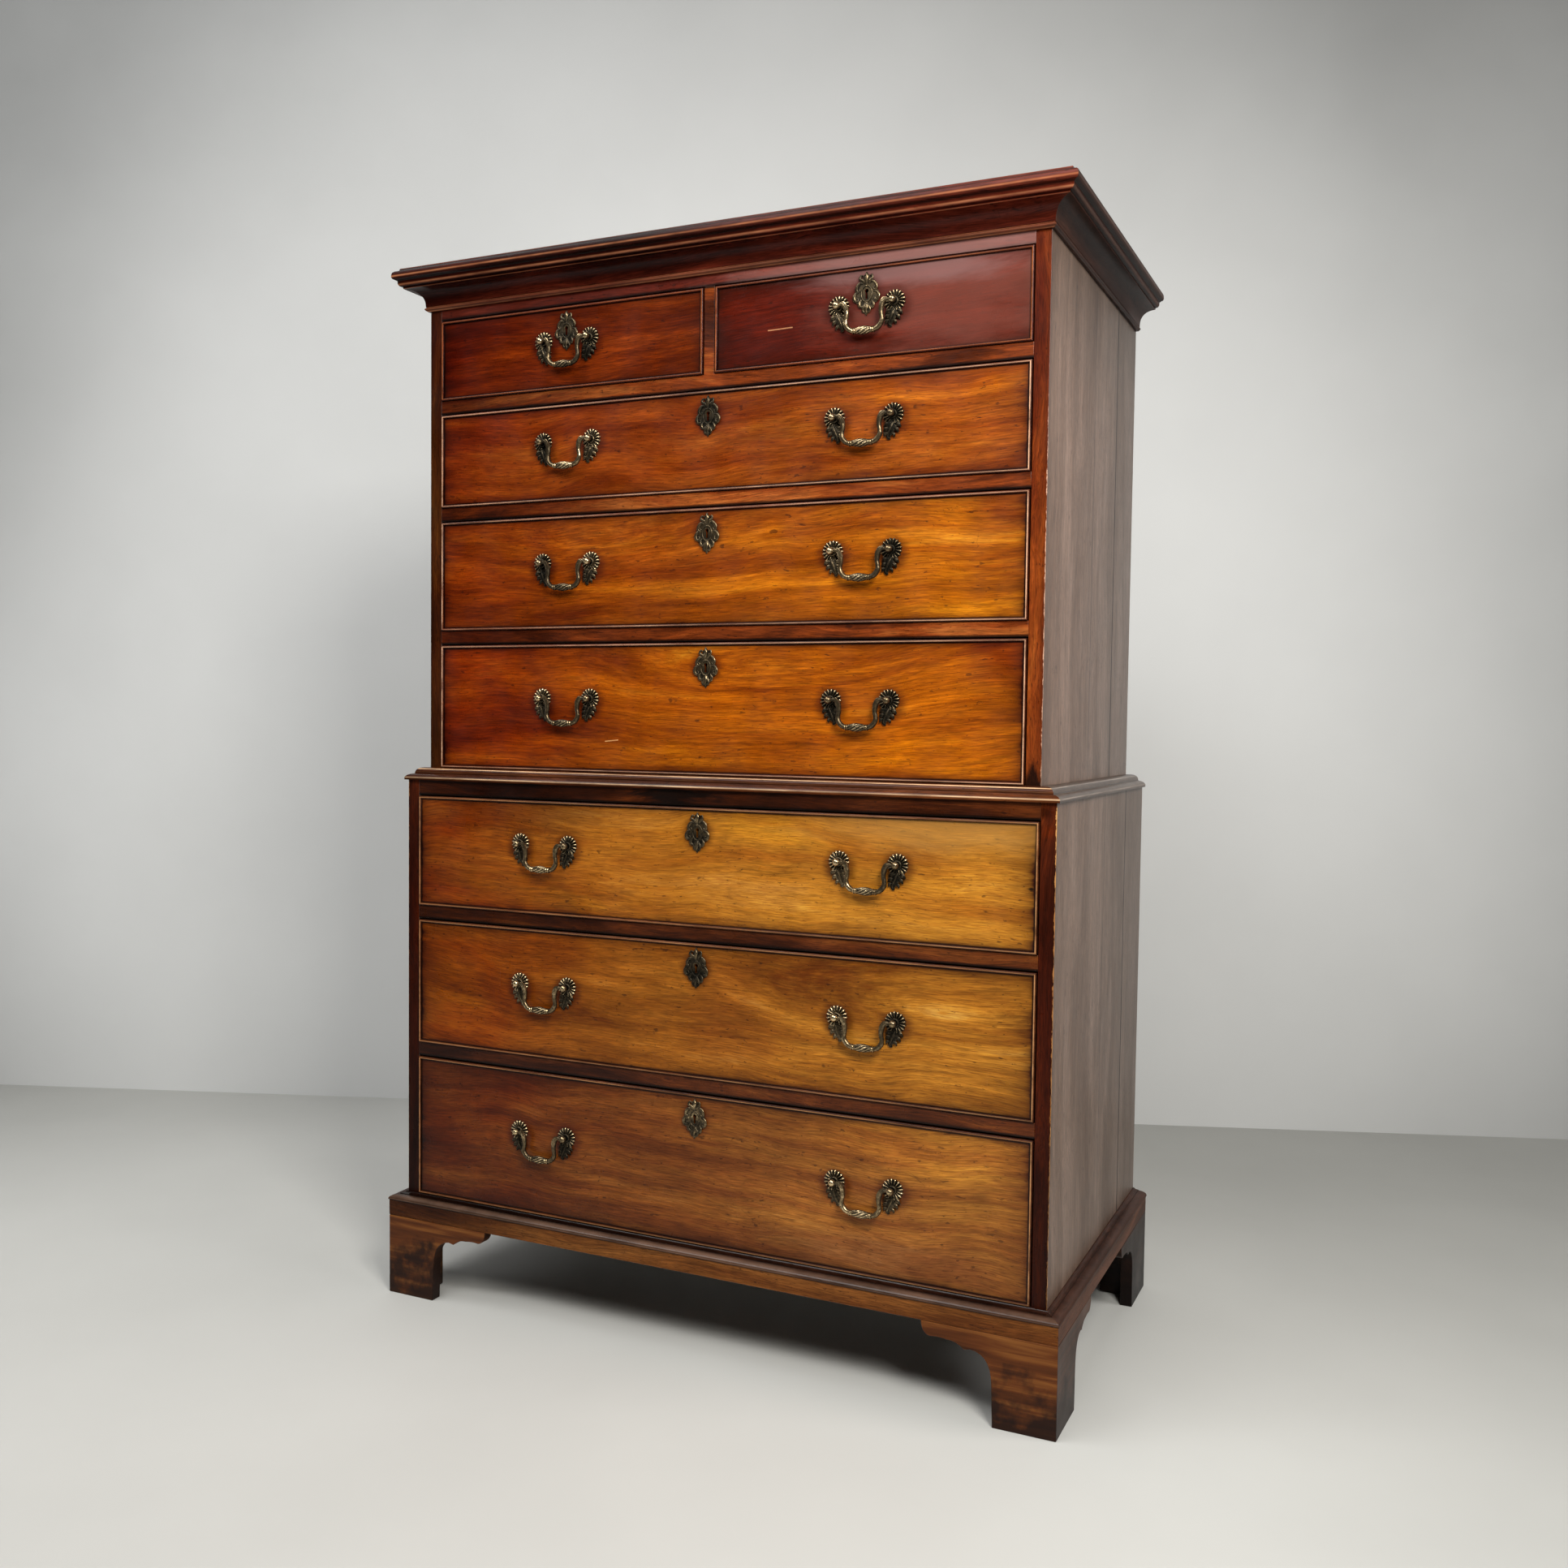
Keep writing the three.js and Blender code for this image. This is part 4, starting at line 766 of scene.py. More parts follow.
for depth_end in ("front", "rear"):
    for hand, side in (("left", -1), ("right", 1)):
        node = f"foot_{depth_end}_{hand}"
        outward = Vector((side, 0, 0))
        corner_x = side * FOOT_X
        inner_x = side * (FOOT_X - BRACKET_THICKNESS)
        bm = bmesh.new()
        if depth_end == "front":
            face_verts = sawn_bracket(bm, bracket_outline(FRONT_LEG), Vector((corner_x, FOOT_Y, 0)),
                                      -outward, Vector((0, BRACKET_THICKNESS, 0)))
            mitred = [vert for vert in face_verts if vert.co.y > FOOT_Y + 1 * MM
                      and abs(vert.co.x - corner_x) < 1 * MM]
            side_verts = sawn_bracket(bm, bracket_outline(SIDE_LEG), Vector((corner_x, FOOT_Y, 0)),
                                      Vector((0, 1, 0)), -outward * BRACKET_THICKNESS)
            mitred_side = [vert for vert in side_verts if abs(vert.co.x - corner_x) > 1 * MM
                           and vert.co.y < FOOT_Y + 1 * MM]
            bmesh.ops.translate(bm, vec=-outward * BRACKET_THICKNESS, verts=mitred)
            bmesh.ops.translate(bm, vec=(0, BRACKET_THICKNESS, 0), verts=mitred_side)
            block_y = (FOOT_Y + BRACKET_THICKNESS, FOOT_Y + BRACKET_THICKNESS + BLOCK)
        else:
            sawn_bracket(bm, bracket_outline(SIDE_LEG), Vector((corner_x, BACK, 0)), Vector((0, -1, 0)),
                         -outward * BRACKET_THICKNESS)
            plain = [(BRACKET_THICKNESS, 0), (FRONT_LEG, 0), (SIDE_LEG, FOOT_HEIGHT - BLOCK),
                     (REAR_LENGTH, FOOT_HEIGHT - CLEAT), (REAR_LENGTH, FOOT_HEIGHT),
                     (BRACKET_THICKNESS, FOOT_HEIGHT)]
            sawn_bracket(bm, plain, Vector((corner_x, BACK - BRACKET_THICKNESS, 0)), -outward,
                         Vector((0, BRACKET_THICKNESS - 0.2 * MM, 0)))
            block_y = (BACK - BRACKET_THICKNESS - BLOCK, BACK - BRACKET_THICKNESS)
        bmesh.ops.recalc_face_normals(bm, faces=bm.faces)
        arrises = [edge for edge in bm.edges if len(edge.link_faces) == 2
                   and edge.calc_face_angle(0) > math.radians(50)]
        eased = ease(bm, arrises, 1 * MM)
        # Side faces, and every face of the back feet, take the darker copy: painted shade
        for face in bm.faces:
            face.material_index = int(depth_end == "rear" or abs(face.normal.x) > 0.7)
        foot = new_piece(bm, node + "_brackets", foot_wood, "lower_case",
                         eased=eased)
        foot.data.materials.append(shaded_foot_wood)
        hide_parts(node)
        bm = bmesh.new()
        far_x = side * (FOOT_X - BRACKET_THICKNESS - BLOCK)
        glue_block(bm, (min(inner_x, far_x), block_y[0], BLOCK_GAP),
                   (max(inner_x, far_x), block_y[1], FOOT_HEIGHT))
        if depth_end == "front":
            cleat_x = side * (FOOT_X - BRACKET_LENGTH + CLEAT)
            glue_block(bm, (min(cleat_x, far_x), block_y[0], FOOT_HEIGHT - CLEAT),
                       (max(cleat_x, far_x), block_y[0] + CLEAT, FOOT_HEIGHT))
        bmesh.ops.recalc_face_normals(bm, faces=bm.faces)
        new_piece(bm, node + "_blocks", block_wood, "lower_case", 30)


# Drawer boxes of bare oak, dovetailed, as in the frame. Each front is one board of figured
# mahogany with a cockbead let in round its edge, mitred at the corners. Every board has its own
# colour: two red ones at the top, gold in the upper chest, tan in the lower.
RED_SHADE = "#b4602e"
# In each look, the places are bands of painted sheen and reflection, the milky places painted reflections,
# and the darker left end painted shade with a darker finish
drawer_looks = {
    "lower_bottom": dict(
        tones=("#562a0f", "#834a1c", "#a36728", "#c38a40"), seed=11.3, streak=1.2, spread=1.2,
        gloss=0.18, painted_left_shade=(1.0, "#9c6a48", 0.5),
        places=[(0.38, 0.375, 0.16, 0.045, "#edf6d6", 0.8), (0.46, 0.3, 0.1, 0.06, "#d6e1d3", 0.7),
                (0.3, 0.205, 0.2, 0.04, "#958ba5", 0.9)]),
    "lower_middle": dict(
        tones=("#6b3509", "#9c611a", "#ba7a26", "#d29b46"), seed=3.9, streak=1.3, spread=1.2,
        gloss=0.18, plume=(0.40, 0.575), painted_left_shade=(1.0, "#b8803e", 0.5),
        places=[(0.06, 0.54, 0.09, 0.12, "#a1979b", 0.8), (-0.46, 0.54, 0.08, 0.05, "#cbe7e1", 0.8)]),
    "lower_top": dict(
        tones=("#7a400c", "#a46218", "#bd7c24", "#d59840"), seed=23.1, spread=0.9,
        painted_left_shade=(0.95, "#b4703a", 0.3), stain=(0.526, 0.761, 0.009, 0.004),
        places=[(-0.34, 0.83, 0.22, 0.04, "#959bb3", 0.9), (0.11, 0.83, 0.12, 0.03, "#d3dac4", 0.9),
                (-0.36, 0.7, 0.2, 0.03, "#cbe1c8", 0.9)],
        painted_sheens=[(0.42, 0.85, 0.24, 0.05, "#bb8844", 0.5)]),
    "upper_bottom": dict(
        tones=("#6c2802", "#974804", "#b35d08", "#d0821c"), seed=31.7, spread=1.3,
        plume=(0.10, 1.075), painted_left_shade=(0.95, RED_SHADE, 0.12), scores=[(-0.17, 0.955, 0.012, 0.1)],
        places=[(0.49, 1.09, 0.08, 0.05, "#9a7c98", 0.95), (-0.27, 0.935, 0.3, 0.03, "#def4d8", 0.9),
                (0.35, 0.935, 0.22, 0.03, "#daeabc", 0.9)]),
    "upper_middle": dict(
        tones=("#682803", "#974a06", "#b8660e", "#d68a24"), seed=42.3, streak=1.1, spread=1.3,
        plume=(-0.2, 1.285), painted_left_shade=(0.8, RED_SHADE, 0.12),
        places=[(-0.12, 1.3, 0.45, 0.04, "#a79bbc", 0.9), (0.49, 1.3, 0.08, 0.04, "#866c88", 0.95),
                (-0.08, 1.235, 0.22, 0.03, "#9c89b3", 0.9),
                (0.36, 1.165, 0.26, 0.045, "#e0f4cb", 0.65)]),
    "upper_top": dict(
        tones=("#581b02", "#7e3606", "#9e4f10", "#be7522"), seed=53.9, streak=1.2, spread=1.2,
        painted_left_shade=(0.8, RED_SHADE, 0.36),
        places=[(0.36, 1.475, 0.24, 0.035, "#e1f0d4", 0.9), (0.0, 1.42, 0.26, 0.03, "#97898f", 0.9),
                (-0.34, 1.365, 0.18, 0.025, "#d3e4d3", 0.9)]),
    "short_left": dict(
        tones=("#3e0c01", "#672303", "#8b3808", "#ae5414"), seed=61.1, streak=0.9, spread=1.2,
        gloss=0.15, painted_left_shade=(1.0, "#a46244", 0.0),
        places=[(-0.12, 1.632, 0.1, 0.02, "#e1ede1", 0.7), (-0.45, 1.54, 0.08, 0.03, "#daf4dd", 0.7)]),
    "short_right": dict(
        tones=("#330702", "#4f1306", "#671b09", "#842f15"), seed=71.7, streak=0.8, gloss=0.18,
        painted_left_shade=(1.0, "#b89a70", 0.5), scores=[(0.12, 1.575, 0.02, 0.02)],
        painted_sheens=[(0.40, 1.60, 0.22, 0.10, "#8c5144", 0.38),
               (0.34, 1.638, 0.17, 0.024, "#8c6a68", 0.5)]),
}
KEYHOLE_RADIUS, KEY_SLOT, KEYHOLE_HEIGHT, KEYHOLE_DROP = 2.9 * MM, 1.6 * MM, 14 * MM, 39 * MM
FRONT_THICKNESS, CASTING_REACH = 20 * MM, 17 * MM


def keyhole_points(x, z, grow=0.0):
    """The keyhole's outline: a round over a slot."""
    radius, half = KEYHOLE_RADIUS + grow, KEY_SLOT + grow
    foot, middle = z - KEYHOLE_HEIGHT / 2 - grow, z + KEYHOLE_HEIGHT / 2 - KEYHOLE_RADIUS
    start = math.asin(half / radius)
    turns = [start + (2 * math.pi - 2 * start) * step / 14 for step in range(15)]
    arc = [(x + radius * math.sin(turn), middle - radius * math.cos(turn)) for turn in turns]
    return [(x + half, foot)] + arc + [(x - half, foot)]


def pierced_board(bm, outlines, y, thickness):
    """A board or plate of one outer outline and the holes through it."""
    edges = []
    for outline in outlines:
        ring = [bm.verts.new((x, y, z)) for x, z in outline]
        edges += [bm.edges.new((a, b)) for a, b in zip(ring, ring[1:] + ring[:1])]
    filled = bmesh.ops.triangle_fill(bm, use_beauty=True, use_dissolve=False, edges=edges)
    grown = bmesh.ops.extrude_face_region(bm, geom=newest(filled, bmesh.types.BMFace))
    moved = newest(grown, bmesh.types.BMVert)
    bmesh.ops.translate(bm, vec=(0, thickness, 0), verts=moved)
    bmesh.ops.recalc_face_normals(bm, faces=bm.faces)


# The cockbead's section, (in from the edge, out of the face) in millimetres, and the painted light
# on it: a painted highlight along the nose, partly real wear, and painted shade at both edges
bead_section = [(0, 2.0), (0.05, -1.6), (0.55, -2.5), (1.4, -2.9), (1.9, -3.0), (2.4, -3.02), (2.9, -2.95),
                (3.5, -2.7), (4.2, -1.9), (4.5, -0.9), (4.5, 2.0)]
bead_highlight_and_shade = [-1, -0.5, 0, 0.15, 0.4, 1.6, 0.4, 0.15, -0.2, -0.8, -1]
bead_woods = {
    kind: polished_mahogany(colour + "_cockbead_mahogany", tones, seed, streak=0.4, polish=0.24,
                            gloss=0.16, ripples=0.03, highlight_and_wear=highlight_and_wear)
    for kind, colour, tones, seed, highlight_and_wear in (
        ("lower", "tan", ("#1e0b04", "#3a190b", "#552c16", "#734428"), 9.9, "#cf9866"),
        ("upper", "red", ("#1e0803", "#381308", "#52210e", "#6c3319"), 6.2, "#ffc8a0"),
        ("short", "dark", ("#1e0803", "#3a120a", "#541f10", "#6e2f1b"), 4.4, "#b4683c"))}
drawers = {}
for name, look in drawer_looks.items():
    body = name + "_drawer"
    kind = name.split("_")[0]
    low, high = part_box(body + "_front")
    x0, x1, z0, z1 = low.x, high.x, low.z, high.z
    middle, face = (x0 + x1) / 2, LOWER_FACE if kind == "lower" else UPPER_FACE
    half_posts = (43.5 if kind == "short" else 46) * MM
    drawers[body] = (middle, z1, face, half_posts)
    pivots = [joint["pos_m"] for joint in frame["joints"] if joint["parent"] == body]
    fittings = [(x + side * half_posts, face, z - 6 * MM, CASTING_REACH) for x, _, z in pivots
                for side in (-1, 1)]
    fittings.append((middle, face, z1 - KEYHOLE_DROP, CASTING_REACH))
    board_wood = polished_mahogany("front_mahogany_" + name, fittings=fittings, cloudiness=0.4,
                                   rim=(middle, (z0 + z1) / 2, (x1 - x0) / 2, (z1 - z0) / 2), **look)
    bm = bmesh.new()
    # A quarter millimetre shy of the box, so that the dovetails show at its ends
    shy = 0.25 * MM
    outline = [(x0 + shy, z0 + shy), (x1 - shy, z0 + shy), (x1 - shy, z1 - shy), (x0 + shy, z1 - shy)]
    pierced_board(bm, [outline, keyhole_points(middle, z1 - KEYHOLE_DROP)], face, FRONT_THICKNESS)
    board = new_piece(bm, body + "_board", board_wood, body)
    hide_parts(body + "_front")

    # Four strips, each with its own ends at the mitres; the upright ones carry the painted highlight
    # at full strength and the level ones at half
    bm = bmesh.new()
    wear = bm.verts.layers.float.new("wear")
    corners = [(x0, z0, 1, 1), (x1, z0, -1, 1), (x1, z1, -1, -1), (x0, z1, 1, -1)]
    for index, ends in enumerate(zip(corners, corners[1:] + corners[:1])):
        share = 1.0 if index % 2 else 0.5
        strip = []
        for corner_x, corner_z, in_x, in_z in ends:
            ring = [bm.verts.new((corner_x + in_x * inset * MM, face + proud * MM,
                                  corner_z + in_z * inset * MM)) for inset, proud in bead_section]
            for vert, light_and_wear in zip(ring, bead_highlight_and_shade):
                vert[wear] = light_and_wear * share if light_and_wear > 0 else light_and_wear
            strip.append([bm.edges.new((a, b)) for a, b in zip(ring, ring[1:] + ring[:1])])
        for edge, match in zip(*strip):
            bmesh.ops.contextual_create(bm, geom=[edge, match])
        for loop in strip:
            bmesh.ops.contextual_create(bm, geom=loop)
    bmesh.ops.recalc_face_normals(bm, faces=bm.faces)
    new_piece(bm, body + "_cockbead", bead_woods[kind], body, 50)
    timbered(body + "_box", bare_oak)


# The brasses: sand-cast rococo roses, swan-neck bails and escutcheons. A brown-black patina
# fills the hollows, and hands have rubbed the high places back to pale gold.
def patinated_brass(name, rubbed_share):
    """Old brass: bright where the casting stands proud, nearly black where it doesn't."""
    material, add = new_material(name)
    place = add("TexCoord").outputs["Object"]
    proud = add("Attribute", attribute_name="proud").outputs["Fac"]
    spots = add("TexNoise", {"Vector": place, "Scale": 260, "Detail": 4, "Roughness": 0.6})
    broad = add("TexNoise", {"Vector": place, "Scale": 9, "Detail": 2})
    cover = add("Math", [spots, broad], operation="ADD")
    cover = add("Math", [cover, 1.0 - rubbed_share], operation="SUBTRACT")
    bright = add("Math", [proud, cover], operation="ADD")
    tone = add("ValToRGB", [bright], [(0.22, "#201e18"), (0.5, "#4a4133"), (0.8, "#7e6c50"),
                                      (1.0, "#d6be94")])
    rough = add("MapRange", [bright, 0.4, 0.95, 0.48, 0.22])
    bump = add("Bump", {"Height": spots, "Strength": 0.3, "Distance": 0.0003})
    add("OutputMaterial", [add("BsdfPrincipled", {
        "Base Color": tone, "Metallic": 0.92, "Roughness": rough, "Normal": bump})])
    return material


rose_brass = patinated_brass("patinated_rose_brass", 0.1)
bail_brass = patinated_brass("patinated_bail_brass", 0.07)
escutcheon_brass = patinated_brass("patinated_escutcheon_brass", 0.03)


def eased_path(points, steps=5):
    """A smooth path through the points."""
    points = [Vector(point) for point in points]
    ends = [2 * points[0] - points[1]] + points + [2 * points[-1] - points[-2]]
    path = []
    for a, b, c, d in zip(ends, ends[1:], ends[2:], ends[3:]):
        for step in range(steps):
            t = step / steps
            path.append(0.5 * (2 * b + (c - a) * t + (2 * a - 5 * b + 4 * c - d) * t * t
                               + (3 * b - a - 3 * c + d) * t ** 3))
    return path + [points[-1]]


def start_ring(bm, sides, place):
    """A ring of sides round a path's start, and its edges."""
    ring = bmesh.ops.create_circle(bm, segments=sides, radius=1, matrix=place)["verts"]
    return ring, list({edge for vert in ring for edge in vert.link_edges})


def grow_ring(bm, edges):
    """Draws a ring of edges out, and returns the new ring's vertices and edges."""
    grown = bmesh.ops.extrude_edge_only(bm, edges=edges)
    ring = newest(grown, bmesh.types.BMVert)
    return ring, [edge for edge in newest(grown, bmesh.types.BMEdge)
                  if edge.verts[0] in ring and edge.verts[1] in ring]


def tendril(bm, points, widths, flat=0.6, sides=8, steps=5):
    """A cast scroll or leaf: a flattened round that swells and tapers along a path, drawn in
    millimetres as (across, out, up), with half widths given at the path's points."""
    path = eased_path(points, steps)
    swell = [width.x for width in eased_path([(width, 0, 0) for width in widths], steps)]
    places = []
    for index, point in enumerate(path):
        heading = (path[min(index + 1, len(path) - 1)] - path[max(index - 1, 0)]).normalized()
        out = Vector((0, -1, 0))
        out = (out - out.dot(heading) * heading).normalized()
        width = max(swell[index], 0.15)
        place = Matrix((out.cross(heading) * width, out * width * flat, heading)).transposed().to_4x4()
        place.translation = point
        places.append(place)
    ring, edges = start_ring(bm, sides, places[0])
    bmesh.ops.contextual_create(bm, geom=edges)
    for before, place in zip(places, places[1:]):
        ring, edges = grow_ring(bm, edges)
        bmesh.ops.transform(bm, matrix=place @ before.inverted(), verts=ring)
    bmesh.ops.contextual_create(bm, geom=edges)


def turned(bm, profile, centre=(0, 0, 0), sides=20):
    """A round turned about the line that points out of the board: (radius, out) in millimetres."""
    verts = [bm.verts.new((centre[0] + radius, centre[1] - out, centre[2])) for radius, out in profile]
    edges = [bm.edges.new(pair) for pair in zip(verts, verts[1:])]
    bmesh.ops.spin(bm, geom=verts + edges, cent=centre, axis=(0, 1, 0), angle=2 * math.pi, steps=sides,
                   use_merge=True)
    bmesh.ops.remove_doubles(bm, verts=bm.verts, dist=0.001)


def shell(bm, centre, inner, outer, flutes):
    """A fluted scallop shell spread round a boss, its rim scalloped and turned back."""
    proud = bm.verts.layers.float.get("proud") or bm.verts.layers.float.new("proud")
    rows = [(inner, 1.2), (inner + 1.5, 2.8), (0.5 * (inner + outer), 3.0), (outer - 2.6, 3.1),
            (outer - 0.5, 2.0), (outer, 0.0)]
    columns = flutes * 8
    circle = bmesh.ops.create_circle(bm, segments=columns, radius=rows[0][0])["verts"]
    bmesh.ops.rotate(bm, verts=circle, matrix=Matrix.Rotation(math.pi / 2, 3, "X"))
    edges = list({edge for vert in circle for edge in vert.link_edges})
    rings = [circle]
    for (before, _), (radius, _) in zip(rows, rows[1:]):
        ring, edges = grow_ring(bm, edges)
        bmesh.ops.scale(bm, vec=(radius / before, 1, radius / before), verts=ring)
        rings.append(ring)
    for ring, (radius, height) in zip(rings, rows):
        spread = (radius - inner) / (outer - inner)
        for vert in ring:
            angle = math.atan2(vert.co.z, vert.co.x)
            flute = abs(math.cos(flutes * angle / 2))
            reach = 1 - 0.13 * spread * (1 - flute)
            lift = 0.4 + 0.8 * flute ** 2 * min(1, 3 * spread)
            vert[proud] = (0.16 + 0.5 * spread) * flute ** 4
            vert.co = (centre[0] + vert.co.x * reach, centre[1] - height * lift,
                       centre[2] + vert.co.z * reach)


def rubbed_high(bm):
    """Writes how far each point of a casting stands out from those round it, from 0 to 1."""
    layer = bm.verts.layers.float.get("proud") or bm.verts.layers.float.new("proud")
    bm.normal_update()
    deepest = max(vert.co.y for vert in bm.verts)
    tallest = deepest - min(vert.co.y for vert in bm.verts)
    for vert in bm.verts:
        near = [edge.other_vert(vert).co for edge in vert.link_edges]
        if not near:
            continue
        mean = sum(near, Vector()) / len(near)
        size = sum((place - vert.co).length for place in near) / len(near) + 1e-9
        bulge = (vert.co - mean).dot(vert.normal) / size
        out = (deepest - vert.co.y) / tallest
        vert[layer] = min(1, max(0, vert[layer] + 1.1 * bulge + 0.32 * out + 0.34 * out ** 3))


def casting(build):
    """Makes one casting in millimetres with its back on the board, and returns its mesh in metres."""
    bm = bmesh.new()
    build(bm)
    bmesh.ops.recalc_face_normals(bm, faces=bm.faces)
    rubbed_high(bm)
    bmesh.ops.scale(bm, vec=(MM, MM, MM), verts=bm.verts)
    mesh = bpy.data.meshes.new("casting")
    bm.to_mesh(mesh)
    bm.free()
    return mesh


def set_casting(bm, mesh, place, flip=False):
    """Sets a copy of a casting in place, turned over left to right where flip is true."""
    before = set(bm.verts)
    bm.from_mesh(mesh)
    fresh = [vert for vert in bm.verts if vert not in before]
    turn = Matrix.Diagonal((-1 if flip else 1, 1, 1, 1))
    bmesh.ops.transform(bm, matrix=Matrix.Translation(place) @ turn, verts=fresh)
    if flip:
        bmesh.ops.reverse_faces(bm, faces=list({face for vert in fresh for face in vert.link_faces}))


def build_rose(bm):
    """The rose: a scallop round the post's knob, over a lobed leaf that turns in under the bail."""
    shell(bm, (0, 0, 0), 4.2, 17, 17)
    turned(bm, [(0, 0.5), (7.0, 0.5), (7.0, 3.2), (6.4, 4.4), (5.2, 4.8), (3.7, 4.2), (3.6, 8.2), (4.4, 8.6),
                (5.3, 9.8), (5.7, 11.5), (5.4, 13.4), (4.6, 15.2), (3.0, 16.6), (1.4, 17.2), (0, 17.4)])
    # The leaf's blade, its midrib, and lobes to either side of it
    tendril(bm, [(-1.5, -1.2, -9), (1, -2.4, -17), (3.6, -2.8, -24), (6.4, -2.4, -30.5), (6.2, -1.8, -34.5),
                 (3.4, -1.4, -35.4)], [6.4, 7.4, 6.2, 4.2, 2.6, 1.0], 0.3, 10)
    tendril(bm, [(-1, -3.2, -12), (1.4, -4.8, -18), (4.4, -4.8, -25), (7, -3.8, -31), (5.6, -2.6, -34.5)],
            [1.0, 1.5, 1.4, 1.1, 0.5], 0.9, 6)
    lobes = [((-3, -14), (-9, -15.5), (-12.5, -19.5), 3.2), ((-1, -20), (-6.5, -22.5), (-8.8, -27), 3.0),
             ((2, -27), (-2.2, -29.5), (-3, -33.5), 2.4), ((2, -13), (9, -14.5), (13.8, -18), 3.2),
             ((4, -20), (10.5, -21.5), (14.2, -25.6), 3.0), ((7, -27), (11.6, -28.5), (13.2, -32.5), 2.3)]
    for root, belly, tip, width in lobes:
        tendril(bm, [(root[0], -2.2, root[1]), (belly[0], -3.4, belly[1]), (tip[0], -1.4, tip[1])],
                [width * 0.6, width, width * 0.3], 0.5, 8, 4)
        tendril(bm, [(root[0], -3.6, root[1]), (belly[0], -4.8, belly[1]), (tip[0], -2.4, tip[1])],
                [0.5, 0.8, 0.3], 0.9, 6, 4)


rose_mesh = casting(build_rose)


def bail_builder(spacing):
    """What builds a bail between two posts: swan-neck arms with leaves and collars, and a grip."""
    half, drop = spacing / 2, 40

    def build(bm):
        shares = [(1, 0, 2.1), (0.9, 0, 2.2), (0.79, 0.02, 3.0), (0.69, -0.05, 3.9), (0.635, -0.2, 4.1),
                  (0.615, -0.42, 3.5), (0.645, -0.6, 3.4), (0.635, -0.76, 3.9), (0.54, -0.91, 4.0),
                  (0.42, -0.985, 3.7), (0.30, -1.0, 3.4)]
        for side in (-1, 1):
            arm = [(side * out * half, 0, up * drop) for out, up, _ in shares]
            tendril(bm, arm, [width for _, _, width in shares], 0.95, 10, 4)
            # A leaf wraps the shoulder and another the foot of the swan's neck
            for leaf, widths in (
                    ([(0.82, -1.4, 2.4), (0.71, -2.3, 1.6), (0.62, -2.6, -5), (0.60, -2.2, -12),
                      (0.63, -1.6, -17)], [0.9, 2.1, 2.3, 1.8, 0.5]),
                    ([(0.66, -1.2, -23), (0.68, -2, -27.5), (0.62, -2.3, -33.5), (0.52, -2.2, -38)],
                     [0.5, 2.0, 2.0, 0.8])):
                tendril(bm, [(side * half * x, y, z) for x, y, z in leaf], widths, 0.55, 6, 4)
            # Three collars stand between the neck and the grip
            for out, width in ((0.37, 5.0), (0.33, 4.2), (0.295, 5.0)):
                centre = side * out * half
                tendril(bm, [(centre + along, 0, -drop) for along in (-1, 0, 1)],
                        [width * 0.82, width, width * 0.82], 1.0, 12, 2)
        # The grip: a reeded spindle, its reeds twisted like rope
        reach, sections, reeds = 0.27 * half, 28, 8
        ring, edges = start_ring(bm, reeds * 4, Matrix.Translation((-reach, 0, -drop))
                                 @ Matrix.Rotation(math.pi / 2, 4, "Y"))
        bmesh.ops.contextual_create(bm, geom=edges)
        rings = [ring]
        for _ in range(sections):
            ring, edges = grow_ring(bm, edges)
            bmesh.ops.translate(bm, vec=(2 * reach / sections, 0, 0), verts=ring)
            rings.append(ring)
        bmesh.ops.contextual_create(bm, geom=edges)
        for index, ring in enumerate(rings):
            share = index / sections
            body = 4.0 + 1.8 * math.sin(math.pi * share)
            for vert in ring:
                angle = math.atan2(vert.co.z + drop, vert.co.y)
                radius = body * (0.82 + 0.28 * abs(math.sin(reeds / 2 * (angle + 2.2 * share))))
                vert.co.y = 0.88 * radius * math.cos(angle) - 0.1
                vert.co.z = -drop + radius * math.sin(angle)
    return build


bail_meshes = {spacing: casting(bail_builder(spacing)) for spacing in (92, 87)}

for body, (middle, top, face, half) in drawers.items():
    swings = [joint for joint in frame["joints"] if joint["parent"] == body]
    bm = bmesh.new()
    bm.verts.layers.float.new("proud")
    for joint in swings:
        pivot = Vector(joint["pos_m"])
        for side in (-1, 1):
            set_casting(bm, rose_mesh, (pivot.x + side * half, face, pivot.z), flip=side > 0)
    new_piece(bm, body + "_roses", rose_brass, body, 60)
    for joint in swings:
        pivot = Vector(joint["pos_m"])
        bm = bmesh.new()
        bm.verts.layers.float.new("proud")
        set_casting(bm, bail_meshes[round(2 * half / MM)], pivot)
        bail = new_piece(bm, joint["child"] + "_cast", bail_brass, joint["child"], 60)
        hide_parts(joint["child"])


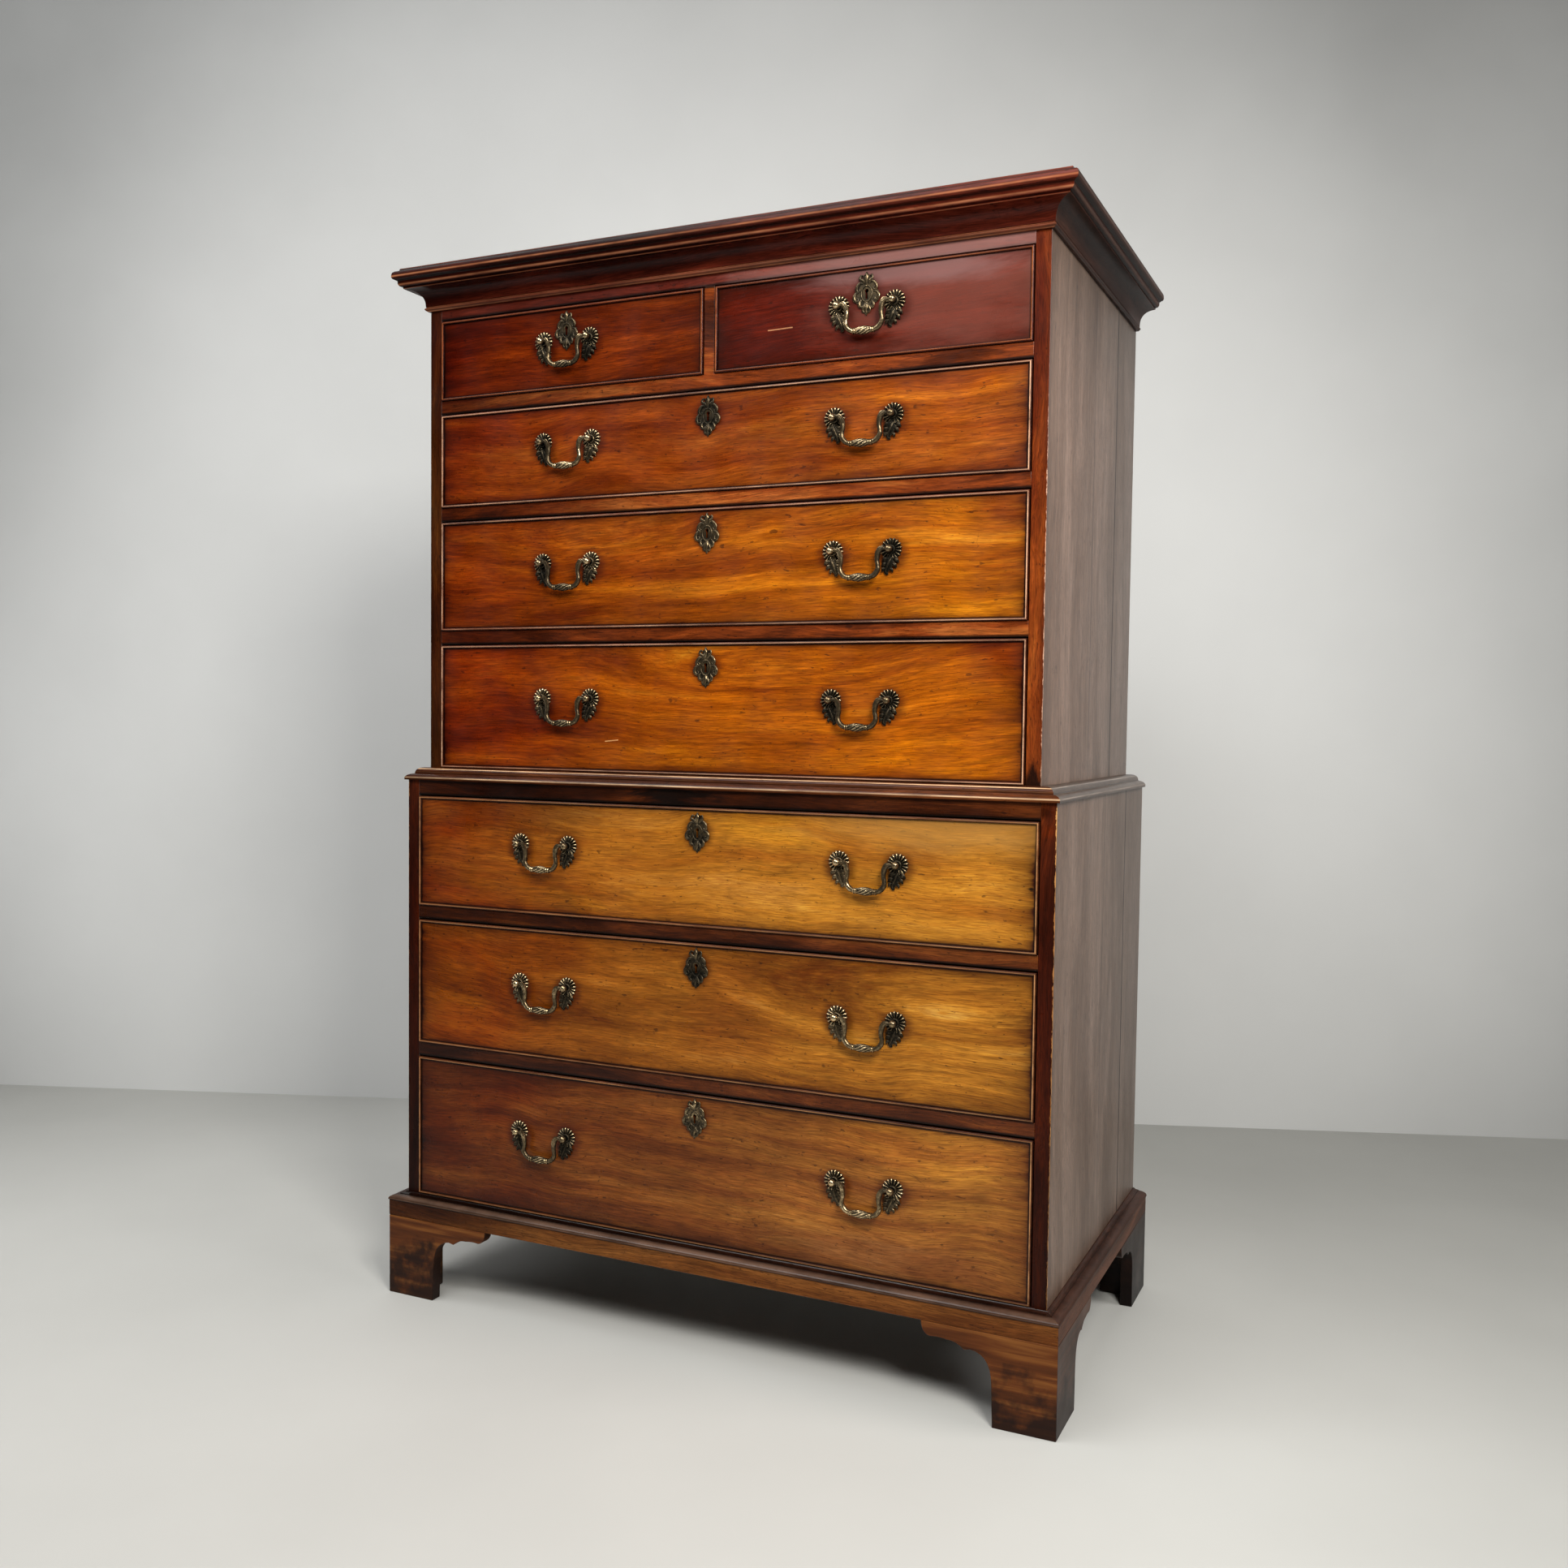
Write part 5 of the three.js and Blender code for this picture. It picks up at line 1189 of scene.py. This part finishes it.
def build_escutcheon(bm):
    """A pierced cartouche: a framed keyhole between C-scrolls, with a leafy crest and foot."""
    ragged = [(0, 31.5), (2.4, 27.4), (5.2, 26.6), (5.2, 22.4), (9.3, 20.8), (8.8, 17), (13.2, 15.2),
              (12.4, 11.4), (16.6, 9.4), (15.6, 5.6), (19, 2.6), (17.4, -1.6), (19.4, -5.8), (16, -8.4),
              (16, -12.8), (12, -13.6), (11, -18), (7.2, -17.8), (6.4, -22.4), (3.6, -23.2), (2.8, -27.6)]
    rim = ragged + [(0, -31.5)] + [(-x, z) for x, z in reversed(ragged[1:])]
    holes = [(x / MM, z / MM) for x, z in keyhole_points(0, 0, 0.15 * MM)]
    pierced_board(bm, [rim, holes], -1.4, 1.4)
    frame_points = [(8.2 * math.sin(turn), -1.6, 11.5 * math.cos(turn)) for turn in
                    [math.tau * step / 16 for step in range(17)]]
    tendril(bm, frame_points, [1.3] * 17, 0.9, 8, 3)
    for side in (-1, 1):
        lean = 0.8 * side
        tendril(bm, [(side * x, y, z + lean) for x, y, z in (
            (5, -1.4, 15), (10, -2, 16.5), (14.5, -2.2, 12), (15.5, -2, 6.5), (12.5, -1.8, 4),
            (10.8, -1.6, 6.8), (12.6, -1.6, 8.6))], [1.0, 1.9, 2.3, 2.0, 1.5, 1.1, 0.7], 0.6)
        tendril(bm, [(side * x, y, z) for x, y, z in (
            (10.5, -1.4, 3), (16.5, -2, 1.5), (19.3, -2.2, -4), (17.5, -2, -9.5), (13.2, -1.6, -9),
            (13.4, -1.5, -5.6), (15.6, -1.4, -5.2))], [0.9, 1.8, 2.4, 2.0, 1.5, 1.0, 0.6], 0.6)
        tendril(bm, [(side * x, y, z - lean) for x, y, z in (
            (8, -1.4, -9), (11, -2, -13.5), (10.4, -2, -18), (6.6, -1.8, -19.4), (5.2, -1.5, -16.6))],
            [1.0, 2.1, 2.1, 1.5, 0.8], 0.6)
        tendril(bm, [(side * x, y, z) for x, y, z in (
            (1.5, -1.2, 13), (4.5, -2.2, 18), (9.5 - lean, -2.2, 22), (8.2, -1.8, 26.5), (5, -1.4, 25))],
            [1.6, 2.4, 1.9, 1.3, 0.6], 0.55)
        tendril(bm, [(side * x, y, z) for x, y, z in (
            (1, -1.2, -13), (3.4, -2, -18.5), (5.6, -2, -23), (4, -1.6, -26.5), (1.8, -1.4, -25))],
            [1.6, 2.2, 1.7, 1.2, 0.6], 0.55)
    tendril(bm, [(0, -1.4, 12), (-0.6, -2.6, 18), (0.8, -2.8, 24), (-0.4, -2, 28.5), (0.6, -1.2, 31.3)],
            [1.8, 2.6, 2.5, 1.8, 0.5], 0.6)
    tendril(bm, [(0, -1.4, -12), (0.6, -2.4, -18), (-0.6, -2.4, -24), (0.2, -1.8, -28), (0, -1.2, -31.2)],
            [1.6, 2.2, 2.0, 1.4, 0.5], 0.6)


escutcheon_mesh = casting(build_escutcheon)



# The lock's case, let into the back of the board: a box of browned iron, dull, with four screws.
lock_iron, add = new_material("browned_lock_iron")
rust = add("TexNoise", {"Vector": add("TexCoord").outputs["Object"], "Scale": 160, "Detail": 5})
tone = add("ValToRGB", [rust], [(0.35, "#1a1613"), (0.65, "#3a2c22")])
add("OutputMaterial", [add("BsdfPrincipled", {"Base Color": tone, "Metallic": 0.7, "Roughness": 0.55})])
LOCK_WIDTH, LOCK_HEIGHT, LOCK_DEPTH, LOCK_PROUD = 64 * MM, 46 * MM, 10.7 * MM, 0.4 * MM
LOCK_DROP, SCREW_OUT, SCREW_UP, SCREW_HEAD = 10.1 * MM, 27 * MM, 18 * MM, 2.6 * MM
for body, (middle, top, face, _) in drawers.items():
    bm = bmesh.new()
    bm.verts.layers.float.new("proud")
    set_casting(bm, escutcheon_mesh, (middle, face, top - KEYHOLE_DROP))
    plate = new_piece(bm, body + "_escutcheon", escutcheon_brass, body, 60)
    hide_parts(body + "_lock")
    bm = bmesh.new()
    case_top = top - LOCK_DROP
    back = face + FRONT_THICKNESS + LOCK_PROUD
    glue_block(bm, (middle - LOCK_WIDTH / 2, back - LOCK_DEPTH, case_top - LOCK_HEIGHT),
               (middle + LOCK_WIDTH / 2, back, case_top))
    for side_x in (-1, 1):
        for side_z in (-1, 1):
            screw = Matrix.Translation((middle + side_x * SCREW_OUT, back,
                                        case_top - LOCK_HEIGHT / 2 + side_z * SCREW_UP))
            bmesh.ops.create_cone(bm, cap_ends=True, segments=12, radius1=SCREW_HEAD,
                                  radius2=SCREW_HEAD - 1 * MM, depth=1.6 * MM,
                                  matrix=screw @ Matrix.Rotation(-math.pi / 2, 4, "X"))
    bmesh.ops.recalc_face_normals(bm, faces=bm.faces)
    new_piece(bm, body + "_lock_case", lock_iron, body, 30)
